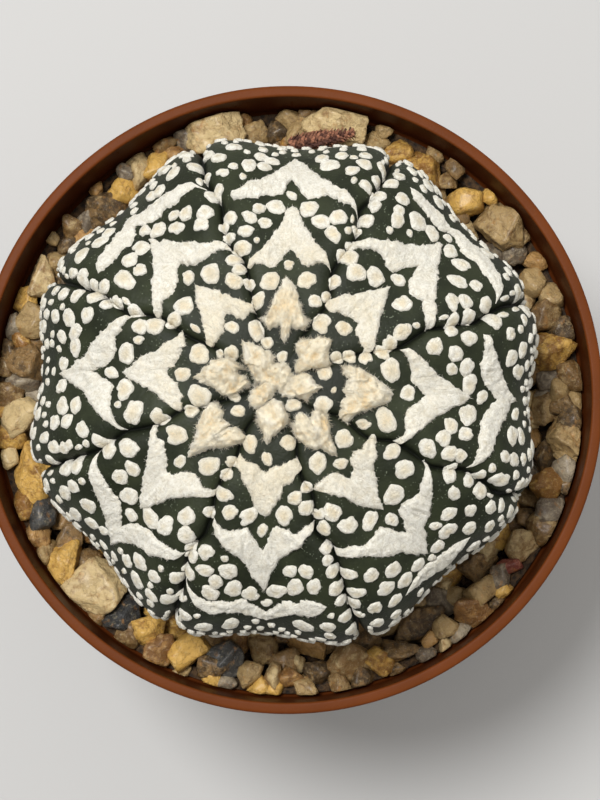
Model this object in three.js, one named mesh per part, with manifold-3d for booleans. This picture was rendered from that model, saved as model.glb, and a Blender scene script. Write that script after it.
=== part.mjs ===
// A super kabuto star cactus in a round plastic pot, with a top dressing of coarse grit.
// Millimetres, +Z up. The origin is the middle of the pot's foot, on the surface that it stands on.

import * as THREE from 'three';
import { ConvexGeometry } from 'three/addons/geometries/ConvexGeometry.js';
import { mergeVertices } from 'three/addons/utils/BufferGeometryUtils.js';
import Module from 'manifold-3d';

const wasm = await Module();
wasm.setup();

const TAU = 2 * Math.PI;
const radians = THREE.MathUtils.degToRad;

// Driving dimensions of the pot
const POT_HEIGHT = 80;
const RIM_RADIUS = 45;
const RIM_LIP = 1.9; // width of the flat top of the rim
const COLLAR_HEIGHT = 10; // the straight band under the rim
const COLLAR_STEP = 1.5; // how far the band stands out of the tapered wall
const WALL = 1.4;
const FOOT_RADIUS = 30.6;
const FOOT_WIDTH = 2.4;
const FLOOR_BOTTOM = 1.6; // the floor is raised above the standing ring
const FLOOR_TOP = 3.2;
const POT_SIDES = 48;
const DRAIN_HOLES = 6;
const DRAIN_RADIUS = 2.6;
const DRAIN_CIRCLE = 21;

// Driving dimensions of what fills the pot
const CLEARANCE = 0.35; // gap between pieces that touch
const MIX_TOP = 60;
const GRIT_TOP = 69.3; // top of the packed grit that the upper stones sit in
const STONE_LAYER = 70; // height of the middles of the upper stones
const GRIT_SLOPE = 0.03; // the dressing lies a little higher on the +Y side

// Driving dimensions of the plant
const BODY_RADIUS = 34.6;
const WAIST_HEIGHT = 90; // the widest level of the body
const CROWN_RISE = 20; // waist to apex
const BASE_DROP = 26; // waist to underside
const FULLNESS = 0.91; // 1 gives an ellipse, less gives fuller shoulders
const SWELL = 1.3; // the two flanks beside a furrow stand out, and the middle of a rib lies in
const FURROW_DEPTH = 2.1;
const FURROW_WIDTH = 1.0;
const CROWN_DIP = 1.2;
const NECK_FALL = 2.72; // where the body gives way to its taproot, as an angle from the apex
const TAPROOT = [[9, 61.5], [7.2, 56], [5.4, 47], [3.4, 38]]; // radius and height down the root
const ROOT_TIP = 33;
const FELT_THICKNESS = 0.45;
const TUFT_THICKNESS = 1.5; // the young areoles near the apex carry thick wool
const TUFT_RADIUS = 12;
const FELT_ROOT = 1; // how deep the felt is sunk into the skin

// Where the photograph was taken from. The crown's map below is in pixels of its 600 x 800 frame.
const EYE = new THREE.Vector3(8.1, -23.3, 369);
const AIM = new THREE.Vector3(1.87, -0.57, POT_HEIGHT);
const FOCAL_PIXELS = 2035;
const FRAME_MIDDLE = [300, 400];
const PIXEL = 0.138; // millimetres on the crown

// Eight furrows, anticlockwise from the one below the +X rib, each from the crown outwards.
const FURROWS = [
  [[307, 405], [339, 415], [364, 436], [393, 441], [422, 459], [443, 469], [466, 470], [491, 485], [506, 496], [531, 495]],
  [[313, 369], [340, 358], [366, 352], [399, 348], [410, 341], [428, 328], [457, 324], [478, 322], [507, 305], [535, 305]],
  [[300, 340], [316, 318], [328, 304], [332, 272], [342, 255], [356, 241], [360, 209], [374, 195], [389, 170], [395, 152]],
  [[268, 345], [258, 322], [251, 292], [247, 270], [241, 255], [223, 228], [221, 202], [207, 184], [203, 166], [200, 149]],
  [[248, 362], [225, 356], [193, 339], [179, 330], [163, 318], [142, 313], [129, 315], [110, 301], [99, 292], [54, 278]],
  [[244, 394], [224, 400], [207, 405], [181, 409], [159, 424], [124, 431], [97, 451], [79, 457], [55, 465], [38, 469]],
  [[259, 414], [240, 444], [223, 477], [214, 494], [204, 536], [185, 564], [184, 579], [176, 608], [172, 623]],
  [[290, 424], [297, 459], [313, 493], [318, 536], [333, 546], [338, 561], [345, 591], [357, 620], [361, 629]],
];

// The woolly areoles of each rib, from young to old: the tip, the notch and the ends of the two arms.
const AREOLES = {
  east: [
    [[324, 388], [286, 388], [304, 373], [303, 402]],
    [[395, 394], [343, 390], [342, 366], [347, 421]],
    [[475, 397], [423, 396], [400, 348], [394, 442]],
    [[524, 401], [502, 398], [481, 335], [467, 468]],
  ],
  northeast: [
    [[331, 338], [296, 370], [297, 345], [328, 365]],
    [[394, 284], [351, 317], [327, 304], [367, 351]],
    [[447, 238], [418, 264], [357, 243], [430, 328]],
    [[464, 227], [457, 232], [408, 192], [497, 304]],
  ],
  north: [
    [[283, 354], [284, 377], [278, 363], [292, 365]],
    [[287, 276], [285, 331], [262, 318], [309, 321]],
    [[291, 202], [290, 248], [247, 270], [332, 272]],
    [[295, 152], [291, 175], [233, 200], [359, 216]],
  ],
  northwest: [
    [[241, 341], [255, 383], [244, 362], [273, 358]],
    [[193, 284], [225, 317], [256, 313], [212, 345]],
    [[145, 234], [177, 264], [232, 250], [158, 317]],
    [[129, 215], [134, 223], [206, 190], [101, 275]],
  ],
  west: [
    [[247, 403], [275, 388], [249, 391], [268, 406]],
    [[192, 374], [249, 378], [226, 359], [227, 396]],
    [[117, 371], [167, 371], [179, 332], [180, 410]],
    [[55, 375], [87, 370], [128, 316], [124, 431]],
  ],
  southwest: [
    [[187, 457], [224, 420], [217, 405], [242, 432]],
    [[137, 512], [167, 472], [155, 425], [215, 492]],
    [[106, 551], [117, 535], [97, 451], [184, 553]],
  ],
  south: [
    [[268, 446], [278, 397], [258, 420], [288, 421]],
    [[264, 518], [266, 471], [239, 455], [301, 465]],
    [[263, 595], [262, 550], [213, 517], [316, 524]],
    [[267, 629], [266, 619], [185, 581], [325, 603]],
  ],
  southeast: [
    [[336, 457], [309, 415], [324, 408], [292, 424]],
    [[386, 512], [350, 476], [371, 439], [313, 493]],
    [[433, 560], [407, 534], [425, 459], [335, 549]],
    [[447, 572], [440, 565], [471, 539], [406, 597]],
  ],
};

// The loose felt flecks of each rib that the photograph shows: middle and radius.
const FLECKS = {
  east: [
    [434, 347, 8], [451, 331, 6], [467, 339, 8], [455, 354, 8], [453, 369, 6], [468, 367, 8], [473, 384, 9],
    [487, 397, 7], [471, 415, 10], [452, 426, 8], [466, 434, 7], [443, 438, 8], [427, 448, 9], [448, 453, 8],
    [458, 455, 7], [492, 322, 8], [507, 335, 6], [518, 322, 5], [513, 358, 8], [522, 350, 8], [529, 331, 6],
    [522, 415, 7], [515, 436, 9], [502, 456, 6], [511, 459, 7], [520, 459, 6], [497, 478, 9], [480, 475, 5],
    [514, 482, 7], [391, 370, 10], [383, 352, 7], [409, 393, 8], [386, 420, 10], [323, 405, 8],
  ],
  northeast: [
    [366, 222, 7], [374, 208, 7], [378, 197, 8], [390, 187, 7], [406, 168, 6], [409, 177, 6], [427, 187, 8],
    [401, 202, 7], [398, 213, 6], [397, 221, 8], [419, 220, 10], [436, 229, 9], [453, 233, 5], [455, 247, 8],
    [464, 263, 9], [458, 281, 9], [474, 287, 6], [451, 303, 8], [463, 303, 7], [483, 306, 7], [453, 321, 7],
    [468, 317, 7], [489, 252, 8], [508, 266, 7], [504, 274, 5], [513, 294, 8], [350, 258, 8], [342, 255, 5],
    [356, 273, 9], [376, 276, 9], [400, 278, 7], [403, 303, 9], [402, 332, 9], [390, 343, 7], [344, 328, 7],
    [337, 357, 6], [349, 356, 6], [366, 358, 6],
  ],
  north: [
    [292, 191, 6], [276, 204, 9], [309, 206, 9], [259, 208, 6], [250, 218, 7], [265, 222, 6], [231, 219, 7],
    [246, 232, 7], [242, 248, 8], [321, 221, 8], [338, 219, 8], [333, 235, 8], [342, 254, 6], [249, 165, 8],
    [264, 163, 7], [235, 151, 8], [220, 163, 7], [210, 159, 6], [224, 177, 6], [219, 191, 6], [330, 163, 10],
    [351, 174, 7], [363, 169, 8], [378, 157, 7], [365, 189, 6], [381, 171, 6], [289, 264, 6], [270, 281, 9],
    [307, 280, 9], [257, 300, 8], [315, 301, 6], [256, 330, 9], [322, 323, 9], [283, 356, 5],
  ],
  northwest: [
    [141, 226, 7], [155, 226, 9], [138, 245, 9], [175, 226, 8], [173, 214, 6], [186, 214, 7], [206, 215, 8],
    [202, 226, 8], [129, 259, 8], [139, 269, 7], [126, 281, 10], [106, 287, 7], [117, 302, 6], [134, 311, 7],
    [214, 196, 7], [187, 276, 7], [210, 273, 10], [234, 281, 8], [184, 306, 9], [173, 320, 8], [239, 269, 6],
    [232, 327, 6], [267, 342, 6], [231, 353, 7], [158, 190, 8], [149, 193, 8], [175, 177, 8], [188, 161, 8],
    [196, 170, 7], [99, 241, 9], [85, 258, 9], [86, 279, 8], [77, 275, 8],
  ],
  west: [
    [108, 372, 7], [125, 353, 9], [139, 340, 5], [155, 326, 9], [141, 327, 8], [123, 389, 10], [134, 412, 11],
    [159, 417, 8], [182, 374, 7], [199, 354, 9], [199, 396, 10], [90, 316, 8], [71, 319, 9], [58, 317, 7],
    [49, 306, 7], [75, 332, 8], [72, 346, 8], [60, 336, 7], [80, 297, 7], [68, 296, 7], [96, 297, 7],
    [57, 362, 7], [55, 387, 8], [60, 406, 9], [74, 405, 8], [56, 422, 7], [68, 421, 7], [85, 429, 8],
    [49, 437, 7], [59, 446, 7], [70, 446, 8], [101, 442, 7], [53, 459, 5], [234, 397, 5],
  ],
  southwest: [
    [127, 518, 7], [126, 498, 9], [120, 477, 8], [132, 469, 7], [130, 448, 10], [109, 450, 8], [148, 520, 10],
    [165, 526, 9], [187, 516, 9], [187, 534, 8], [209, 513, 6], [191, 547, 6], [179, 462, 6], [209, 466, 9],
    [176, 435, 10], [79, 465, 8], [68, 468, 8], [53, 482, 6], [69, 491, 8], [77, 484, 7], [87, 506, 9],
    [74, 515, 8], [61, 507, 7], [87, 526, 8], [98, 536, 6], [139, 563, 9], [124, 562, 8], [156, 574, 7],
    [137, 580, 8], [177, 576, 7], [154, 591, 7], [170, 596, 8], [189, 572, 7], [238, 411, 6],
  ],
  south: [
    [267, 459, 6], [288, 443, 7], [250, 445, 7], [262, 532, 6], [248, 517, 9], [284, 516, 9], [230, 512, 7],
    [224, 495, 8], [295, 498, 7], [306, 508, 7], [307, 487, 6], [226, 475, 6], [266, 609, 5], [250, 599, 9],
    [276, 596, 9], [233, 591, 9], [228, 572, 9], [216, 581, 7], [206, 568, 7], [207, 551, 8], [211, 591, 8],
    [290, 573, 7], [306, 571, 7], [295, 589, 9], [314, 585, 8], [191, 556, 6], [230, 627, 9], [205, 623, 8],
    [188, 611, 7], [303, 628, 9], [327, 623, 7], [232, 462, 5],
  ],
  southeast: [
    [392, 452, 8], [404, 469, 9], [395, 496, 10], [394, 522, 7], [371, 522, 9], [348, 525, 9], [332, 512, 9],
    [319, 514, 6], [324, 528, 7], [452, 492, 7], [450, 473, 8], [467, 480, 6], [477, 490, 8], [449, 514, 8],
    [468, 509, 6], [486, 505, 7], [497, 504, 6], [504, 509, 6], [438, 528, 5], [450, 533, 9], [469, 528, 7],
    [486, 524, 7], [442, 551, 8], [348, 573, 7], [370, 573, 7], [394, 571, 9], [422, 570, 8], [437, 563, 5],
    [356, 590, 7], [385, 587, 9], [407, 583, 9], [354, 603, 7], [373, 603, 7], [394, 599, 7], [375, 617, 7],
    [326, 548, 6], [327, 559, 6], [332, 570, 7], [336, 587, 8], [340, 600, 6], [344, 614, 7], [344, 439, 9],
    [318, 463, 9], [341, 464, 6], [364, 424, 6],
  ],
};

// The stones that stand out in the photograph: middle, length, width and a turn in degrees.
const SHOWN_STONES = [
  [255, 125, 30, 28, 0], [278, 126, 26, 24, 20], [378, 137, 30, 26, 0], [404, 142, 26, 22, 40],
  [430, 157, 38, 36, 0], [465, 205, 34, 28, 20], [446, 182, 20, 18, 0], [524, 246, 30, 26, 60],
  [560, 350, 50, 36, 10], [548, 382, 26, 24, 0], [570, 392, 22, 24, 0], [546, 460, 36, 26, 80],
  [531, 550, 36, 30, 40], [508, 566, 24, 14, 10], [478, 566, 40, 32, 20], [489, 600, 34, 28, 60],
  [512, 588, 28, 22, 30], [420, 625, 52, 30, 20], [453, 638, 26, 22, 20], [436, 650, 18, 14, 30],
  [404, 656, 36, 22, 10], [352, 672, 42, 38, 0], [365, 643, 34, 24, 0], [292, 688, 22, 20, 0],
  [272, 688, 16, 26, 0], [250, 682, 26, 22, 30], [320, 690, 28, 22, 0], [284, 662, 30, 26, 0],
  [186, 660, 40, 32, 20], [152, 628, 42, 32, 40], [118, 622, 40, 30, 30], [70, 540, 36, 30, 30],
  [34, 520, 34, 26, 70], [12, 420, 36, 38, 0], [16, 362, 38, 36, 0], [20, 316, 38, 34, 0],
  [42, 256, 24, 24, 0], [76, 213, 20, 28, 0], [100, 206, 50, 40, 30], [114, 176, 32, 28, 0],
  [156, 157, 36, 30, 60], [168, 137, 26, 22, 0], [138, 168, 20, 30, 0], [60, 240, 26, 20, 30],
  [540, 280, 30, 26, 60], [566, 405, 26, 20, 0], [208, 690, 34, 22, 10], [88, 560, 26, 22, 0],
];

// The largest stones, each a piece of its own: name, middle, length, width, turn and how high it stands.
const LARGE_STONES = [
  ['stone_cream_southwest', 98, 592, 66, 54, 25, 2.2],
  ['stone_gold_southwest', 58, 565, 44, 32, 80, 2.0],
  ['stone_gold_west', 17, 482, 60, 42, 80, 1.6],
  ['stone_slate_south', 222, 661, 42, 44, 0, 1.8],
  ['stone_cream_north', 212, 128, 56, 40, 10, 2.0],
  ['stone_green_north', 338, 119, 58, 36, 160, 2.0],
  ['stone_cream_northeast', 497, 228, 46, 50, 0, 2.0],
  ['stone_peach_east', 563, 437, 34, 40, 0, 1.8],
];

// Repeatable random numbers in 0 to 1, by the mulberry32 rule.
function randomFrom(seed) {
  let state = seed;
  return () => {
    state = (state + 0x6d2b79f5) | 0;
    let mixed = Math.imul(state ^ (state >>> 15), 1 | state);
    mixed = (mixed + Math.imul(mixed ^ (mixed >>> 7), 61 | mixed)) ^ mixed;
    return ((mixed ^ (mixed >>> 14)) >>> 0) / 4294967296;
  };
}

// Solids: a closed three.js geometry becomes a manifold for joining and cutting, and goes back again.
function solid(geometry) {
  const bare = geometry.clone();
  bare.deleteAttribute('normal');
  bare.deleteAttribute('uv');
  const merged = mergeVertices(bare, 1e-4);
  return new wasm.Manifold(new wasm.Mesh({
    numProp: 3,
    vertProperties: merged.attributes.position.array,
    triVerts: new Uint32Array(merged.index.array),
  }));
}

function geometryOf(manifold) {
  const mesh = manifold.getMesh();
  const geometry = new THREE.BufferGeometry();
  geometry.setAttribute('position', new THREE.BufferAttribute(mesh.vertProperties, 3));
  geometry.setIndex(new THREE.BufferAttribute(mesh.triVerts, 1));
  geometry.computeVertexNormals();
  return geometry;
}

// Joins a list in pairs, which is much quicker than one after another.
function joined(solids) {
  let level = solids;
  while (level.length > 1) {
    const next = [];
    for (let i = 0; i < level.length; i += 2) {
      next.push(i + 1 < level.length ? level[i].add(level[i + 1]) : level[i]);
    }
    level = next;
  }
  return level[0];
}

function indexedGeometry(points, faces) {
  const geometry = new THREE.BufferGeometry();
  const numbers = points.flatMap((p) => [p.x, p.y, p.z]);
  geometry.setAttribute('position', new THREE.Float32BufferAttribute(numbers, 3));
  geometry.setIndex(faces.flat());
  return geometry;
}

// A profile of [radius, height] pairs, anticlockwise with the radius to the right, turned about Z.
function turned(profile, sides = POT_SIDES) {
  const closed = [...profile, profile[0]].map(([radius, height]) => new THREE.Vector2(radius, height));
  return new THREE.LatheGeometry(closed, sides).rotateX(Math.PI / 2);
}

// The pot's inner wall, let in by a gap: radius at each height, from the floor to the rim.
const collarBottom = POT_HEIGHT - COLLAR_HEIGHT;
const bodyTopRadius = RIM_RADIUS - 0.6 - COLLAR_STEP;
function innerWall(gap) {
  return [
    [FOOT_RADIUS - WALL + 0.6 - gap, FLOOR_TOP + gap],
    [bodyTopRadius - WALL - gap, collarBottom - gap],
    [RIM_RADIUS - RIM_LIP - 0.2 - gap, collarBottom + 1.2 - gap],
    [RIM_RADIUS - RIM_LIP - gap, POT_HEIGHT],
  ];
}

function innerRadius(height, gap = 0) {
  const wall = innerWall(gap);
  const above = wall.findIndex(([, z]) => z > height);
  const [low, high] = [wall[above - 1], wall[above]];
  return THREE.MathUtils.mapLinear(height, low[1], high[1], low[0], high[0]);
}

function pot() {
  const inner = innerWall(0).reverse();
  const outline = [
    [0, FLOOR_BOTTOM],
    [FOOT_RADIUS - FOOT_WIDTH - 0.6, FLOOR_BOTTOM],
    [FOOT_RADIUS - FOOT_WIDTH, 0],
    [FOOT_RADIUS, 0],
    [FOOT_RADIUS + 0.6, 2.5],
    [bodyTopRadius, collarBottom],
    [RIM_RADIUS - 0.6, collarBottom],
    [RIM_RADIUS - 0.1, POT_HEIGHT - 0.5],
    [RIM_RADIUS - 0.4, POT_HEIGHT],
    ...inner,
    [0, FLOOR_TOP],
  ];
  let shell = solid(turned(outline));
  for (let i = 0; i < DRAIN_HOLES; i++) {
    const angle = (i + 0.5) * TAU / DRAIN_HOLES;
    const hole = new THREE.CylinderGeometry(DRAIN_RADIUS, DRAIN_RADIUS, 3 * FLOOR_TOP, 16).rotateX(Math.PI / 2);
    hole.translate(DRAIN_CIRCLE * Math.cos(angle), DRAIN_CIRCLE * Math.sin(angle), 0);
    shell = shell.subtract(solid(hole));
  }
  return shell;
}

// The smooth body: radius and height at an angle from the apex, and its outward normal there.
function profile(fall) {
  const across = Math.max(0, Math.sin(fall)) ** FULLNESS;
  const up = Math.cos(fall);
  const reach = up > 0 ? CROWN_RISE : BASE_DROP;
  return new THREE.Vector2(
    BODY_RADIUS * across,
    WAIST_HEIGHT + Math.sign(up) * reach * Math.abs(up) ** FULLNESS,
  );
}

function profileNormal(fall) {
  const step = 0.01;
  const along = profile(Math.min(fall + step, Math.PI)).sub(profile(Math.max(fall - step, 0)));
  return new THREE.Vector2(-along.y, along.x).normalize();
}

// The line of sight through a pixel, met with a level plane.
const sight = new THREE.Vector3().subVectors(AIM, EYE).normalize();
const sightRight = new THREE.Vector3().crossVectors(sight, new THREE.Vector3(0, 1, 0)).normalize();
const sightUp = new THREE.Vector3().crossVectors(sightRight, sight);
function atHeight(pixel, height) {
  const ray = sight.clone()
    .addScaledVector(sightRight, (pixel[0] - FRAME_MIDDLE[0]) / FOCAL_PIXELS)
    .addScaledVector(sightUp, (FRAME_MIDDLE[1] - pixel[1]) / FOCAL_PIXELS);
  return EYE.clone().addScaledVector(ray, (height - EYE.z) / ray.z);
}

// Where a pixel's line of sight first meets the smooth body, as an angle from the apex and an azimuth.
const WAIST_FALL = Math.PI / 2;
function onBody(pixel) {
  const steps = 90;
  let best = { miss: Infinity };
  for (let i = 0; i <= steps; i++) {
    const fall = 0.02 + (WAIST_FALL - 0.02) * i / steps;
    const ring = profile(fall);
    const point = atHeight(pixel, ring.y);
    const miss = Math.abs(Math.hypot(point.x, point.y) - ring.x);
    if (miss < best.miss) best = { miss, fall, azimuth: Math.atan2(point.y, point.x) };
  }
  return best;
}

// Each furrow as a run of places on the body. Beyond its last place it goes straight down.
const furrowPlaces = FURROWS.map((pixels) => pixels.map(onBody).sort((a, b) => a.fall - b.fall));
function turnTo(azimuth, reference) {
  return reference + Math.atan2(Math.sin(azimuth - reference), Math.cos(azimuth - reference));
}

function furrowAzimuth(index, fall) {
  const places = furrowPlaces[index];
  const reference = places[places.length - 1].azimuth;
  const after = places.findIndex((place) => place.fall > fall);
  if (after === 0) return turnTo(places[0].azimuth, reference);
  if (after < 0) return reference;
  const [low, high] = [places[after - 1], places[after]];
  const share = (fall - low.fall) / (high.fall - low.fall);
  const start = turnTo(low.azimuth, reference);
  return start + share * (turnTo(high.azimuth, reference) - start);
}

// A rib runs from one furrow to the next, and a place on it is a share of the way across.
function ribEdges(rib, fall) {
  const start = furrowAzimuth(rib, fall);
  const end = furrowAzimuth((rib + 1) % FURROWS.length, fall);
  return [start, start + ((end - start) % TAU + TAU) % TAU];
}

// How far the skin stands out of the smooth body at a share of the way across a rib.
function relief(fall, share, width) {
  const radius = profile(fall).x;
  const grown = THREE.MathUtils.smoothstep(radius, 3, BODY_RADIUS);
  const toFurrow = Math.min(share, 1 - share) * width * radius;
  const furrow = FURROW_DEPTH * (0.35 + 0.65 * grown) * THREE.MathUtils.smoothstep(radius, 1, 9);
  const dip = CROWN_DIP * Math.exp(-((radius / 5) ** 2)) * (fall < WAIST_FALL ? 1 : 0);
  return SWELL * grown * Math.cos(TAU * share) - furrow * Math.exp(-toFurrow / FURROW_WIDTH) - dip;
}

// The skin is a net of rings and columns, and the columns follow the furrows.
const RIB_SHARES = [0, 0.12, 0.5, 0.88];
const BODY_RINGS = 16;
const RING_CROWDING = 1.1; // above 1 the rings lie closer together towards the apex
function netRing(fall, lift = 0) {
  const knots = [];
  for (let rib = 0; rib < FURROWS.length; rib++) {
    const [start, end] = ribEdges(rib, fall);
    for (const share of RIB_SHARES) {
      const azimuth = start + share * (end - start);
      const ring = profile(fall).addScaledVector(profileNormal(fall), relief(fall, share, end - start) + lift);
      const point = new THREE.Vector3(ring.x * Math.cos(azimuth), ring.x * Math.sin(azimuth), ring.y);
      knots.push({ azimuth, point });
    }
  }
  return knots;
}

const ringFalls = Array.from({ length: BODY_RINGS + 1 }, (_, i) => NECK_FALL * (i / BODY_RINGS) ** RING_CROWDING);
function apexPoint(lift = 0) {
  return new THREE.Vector3(0, 0, profile(0).y + relief(0, 0.5, 1) + lift);
}

const net = ringFalls.slice(1).map((fall) => netRing(fall));
net.unshift(net[0].map(({ azimuth }) => ({ azimuth, point: apexPoint() })));

// The point of the net at a place on the body, lifted out of the skin.
function onNet({ fall, azimuth }, lift) {
  const below = Math.max(1, ringFalls.findIndex((level) => level > fall));
  const down = (fall - ringFalls[below - 1]) / (ringFalls[below] - ringFalls[below - 1]);
  const [upper, lower] = [net[below - 1], net[below]];
  const columns = upper.length;
  const lineAt = (k) => turnTo(
    THREE.MathUtils.lerp(upper[k].azimuth, turnTo(lower[k].azimuth, upper[k].azimuth), down), azimuth,
  );
  let best = { miss: Infinity };
  for (let k = 0; k < columns; k++) {
    const [left, right] = [lineAt(k), lineAt((k + 1) % columns)];
    if (left > azimuth || right < azimuth || right - left > Math.PI) continue;
    const across = (azimuth - left) / (right - left || 1);
    best = { miss: 0, k, across };
  }
  const next = (best.k + 1) % columns;
  const corners = down >= best.across
    ? [[upper[best.k], 1 - down], [lower[best.k], down - best.across], [lower[next], best.across]]
    : [[upper[best.k], 1 - best.across], [upper[next], best.across - down], [lower[next], down]];
  const point = corners.reduce((sum, [knot, weight]) => sum.addScaledVector(knot.point, weight), new THREE.Vector3());
  const normal = profileNormal(fall);
  const outward = new THREE.Vector3(normal.x * Math.cos(azimuth), normal.x * Math.sin(azimuth), normal.y);
  return point.addScaledVector(outward, lift);
}

// The body as one closed solid: the net, then the taproot below it.
function body(lift = 0) {
  const rings = ringFalls.slice(1).map((fall) => netRing(fall, lift).map(({ point }) => point));
  const neck = rings[rings.length - 1];
  for (const [radius, height] of TAPROOT) {
    rings.push(neck.map(({ x, y }) => {
      const factor = (radius + lift) / Math.hypot(x, y);
      return new THREE.Vector3(factor * x, factor * y, height - lift);
    }));
  }
  const points = [apexPoint(lift), ...rings.flat(), new THREE.Vector3(0, 0, ROOT_TIP - lift)];
  const columns = neck.length;
  const faces = [];
  for (let column = 0; column < columns; column++) {
    const next = (column + 1) % columns;
    faces.push([0, 1 + column, 1 + next]);
    for (let ring = 0; ring < rings.length - 1; ring++) {
      const [upper, lower] = [1 + ring * columns, 1 + (ring + 1) * columns];
      faces.push([upper + column, lower + column, lower + next], [upper + column, lower + next, upper + next]);
    }
    const last = 1 + (rings.length - 1) * columns;
    faces.push([last + column, points.length - 1, last + next]);
  }
  return solid(indexedGeometry(points, faces));
}

// A place on the body, moved by millimetres down and around it.
function moved(place, down, around) {
  const ring = profile(place.fall);
  const speed = profile(place.fall + 0.01).distanceTo(ring) / 0.01;
  return { fall: place.fall + down / speed, azimuth: place.azimuth + around / Math.max(ring.x, 1) };
}

// A closed slab over a ring of places: its sides start below the skin and end above it.
function slab(outline, strips, thickness, taper) {
  const middle = outline.reduce((sum, p) => sum.add(onNet(p, 0)), new THREE.Vector3())
    .divideScalar(outline.length);
  const low = outline.map((p) => onNet(p, -FELT_ROOT));
  const high = outline.map((p) => onNet(p, thickness).lerp(middle, taper));
  const count = outline.length;
  const faces = [];
  for (let i = 0; i < count; i++) {
    const next = (i + 1) % count;
    faces.push([i, next, count + next], [i, count + next, count + i]);
  }
  for (const [a, b, c] of strips) faces.push([count + a, count + b, count + c], [c, b, a]);
  return solid(indexedGeometry([...low, ...high], faces));
}

// One fleck of felt: a low pad with few sides.
const SMALL_FLECK = 1.15; // up to this radius three sides are enough
const LEAST_FLECK = 6; // smaller ones in the map are left to the finer model
const FLECK_TAPER = 0.12;
function fleck(place, radius, turn) {
  const sides = radius < SMALL_FLECK ? 3 : 4;
  const reach = 1.15 * radius;
  const outline = [];
  for (let i = 0; i < sides; i++) {
    const angle = turn + i * TAU / sides;
    outline.push(moved(place, reach * Math.cos(angle), reach * Math.sin(angle)));
  }
  const fan = [];
  for (let i = 1; i < sides - 1; i++) fan.push([0, i, i + 1]);
  return slab(outline, fan, FELT_THICKNESS, FLECK_TAPER);
}

// One areole's felt: two arms that meet at the tip, each between an outer and an inner edge.
const ARM_STATIONS = [0.5];
const ARM_BELLY = 0.16; // how far the inner edge bows towards the apex, as a share of its length
function areoleOutline([tip, notch, left, right]) {
  const mix = (a, b, share) => [a[0] + share * (b[0] - a[0]), a[1] + share * (b[1] - a[1])];
  const away = [notch[0] - tip[0], notch[1] - tip[1]];
  const reach = Math.hypot(...away) || 1;
  const bowed = (end, share) => {
    const point = mix(end, notch, share);
    const bow = ARM_BELLY * Math.hypot(end[0] - notch[0], end[1] - notch[1]) * Math.sin(Math.PI * share ** 1.4);
    return [point[0] + bow * away[0] / reach, point[1] + bow * away[1] / reach];
  };
  const outer = [
    ...ARM_STATIONS.map((share) => mix(left, tip, share)),
    tip,
    ...ARM_STATIONS.toReversed().map((share) => mix(right, tip, share)),
  ];
  const inner = [
    ...ARM_STATIONS.map((share) => bowed(left, share)),
    notch,
    ...ARM_STATIONS.toReversed().map((share) => bowed(right, share)),
  ];
  return { left, right, outer, inner };
}

function areole(pixels) {
  const { left, right, outer, inner } = areoleOutline(pixels);
  const places = [left, ...inner, right, ...outer.toReversed()].map(onBody);
  const reach = profile(onBody(pixels[0]).fall).x;
  const thickness = reach < TUFT_RADIUS ? TUFT_THICKNESS : FELT_THICKNESS + 0.1;
  const [a, b] = [inner.length, outer.length];
  const far = a + 1;
  const strips = [[0, 1, a + b + 1], [a, far, far + 1]];
  for (let i = 1; i < a; i++) {
    const across = a + b + 2 - i;
    strips.push([i, i + 1, across], [i + 1, across - 1, across]);
  }
  return { places, strips, thickness, reach };
}

// The hidden flanks below the waist, by rule: one more areole on each rib, and flecks thrown in between.
const OLD_AREOLE = { tip: 1.98, notch: 1.86, arm: 1.64, inset: 0.16 };
const FLANK_FALLS = [1.5, 2.3];
const FLANK_THROWS = 12;
const FLANK_FLECK = [0.8, 1.25]; // least and greatest radius
const FLECK_GAP = 0.45;
function oldAreole(rib) {
  const at = (fall, share) => {
    const [start, end] = ribEdges(rib, fall);
    return { fall, azimuth: start + share * (end - start) };
  };
  const { tip, notch, arm, inset } = OLD_AREOLE;
  const middle = (arm + notch) / 2;
  const places = [
    at(arm, inset), at(middle - 0.02, 0.34), at(notch, 0.5), at(middle - 0.02, 0.66),
    at(arm, 1 - inset), at(middle + 0.12, 0.7), at(tip, 0.5), at(middle + 0.12, 0.3),
  ];
  const strips = [[0, 1, 7], [1, 2, 6], [1, 6, 7], [2, 3, 6], [3, 5, 6], [3, 4, 5]];
  return { places, strips, thickness: FELT_THICKNESS };
}

// Which way round an outline runs on the body, so that every slab can face out.
function facesOut(places) {
  let area = 0;
  const first = places[0];
  for (let i = 0; i < places.length; i++) {
    const [a, b] = [places[i], places[(i + 1) % places.length]];
    const [u, v] = [turnTo(a.azimuth, first.azimuth), turnTo(b.azimuth, first.azimuth)];
    area += a.fall * v - b.fall * u;
  }
  return area > 0;
}

function areoleSlab({ places, strips, thickness }) {
  if (facesOut(places)) return slab(places, strips, thickness, 0.04);
  const last = places.length - 1;
  const flipped = strips.map((strip) => strip.map((i) => last - i).reverse());
  return slab(places.toReversed(), flipped, thickness, 0.04);
}

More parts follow.
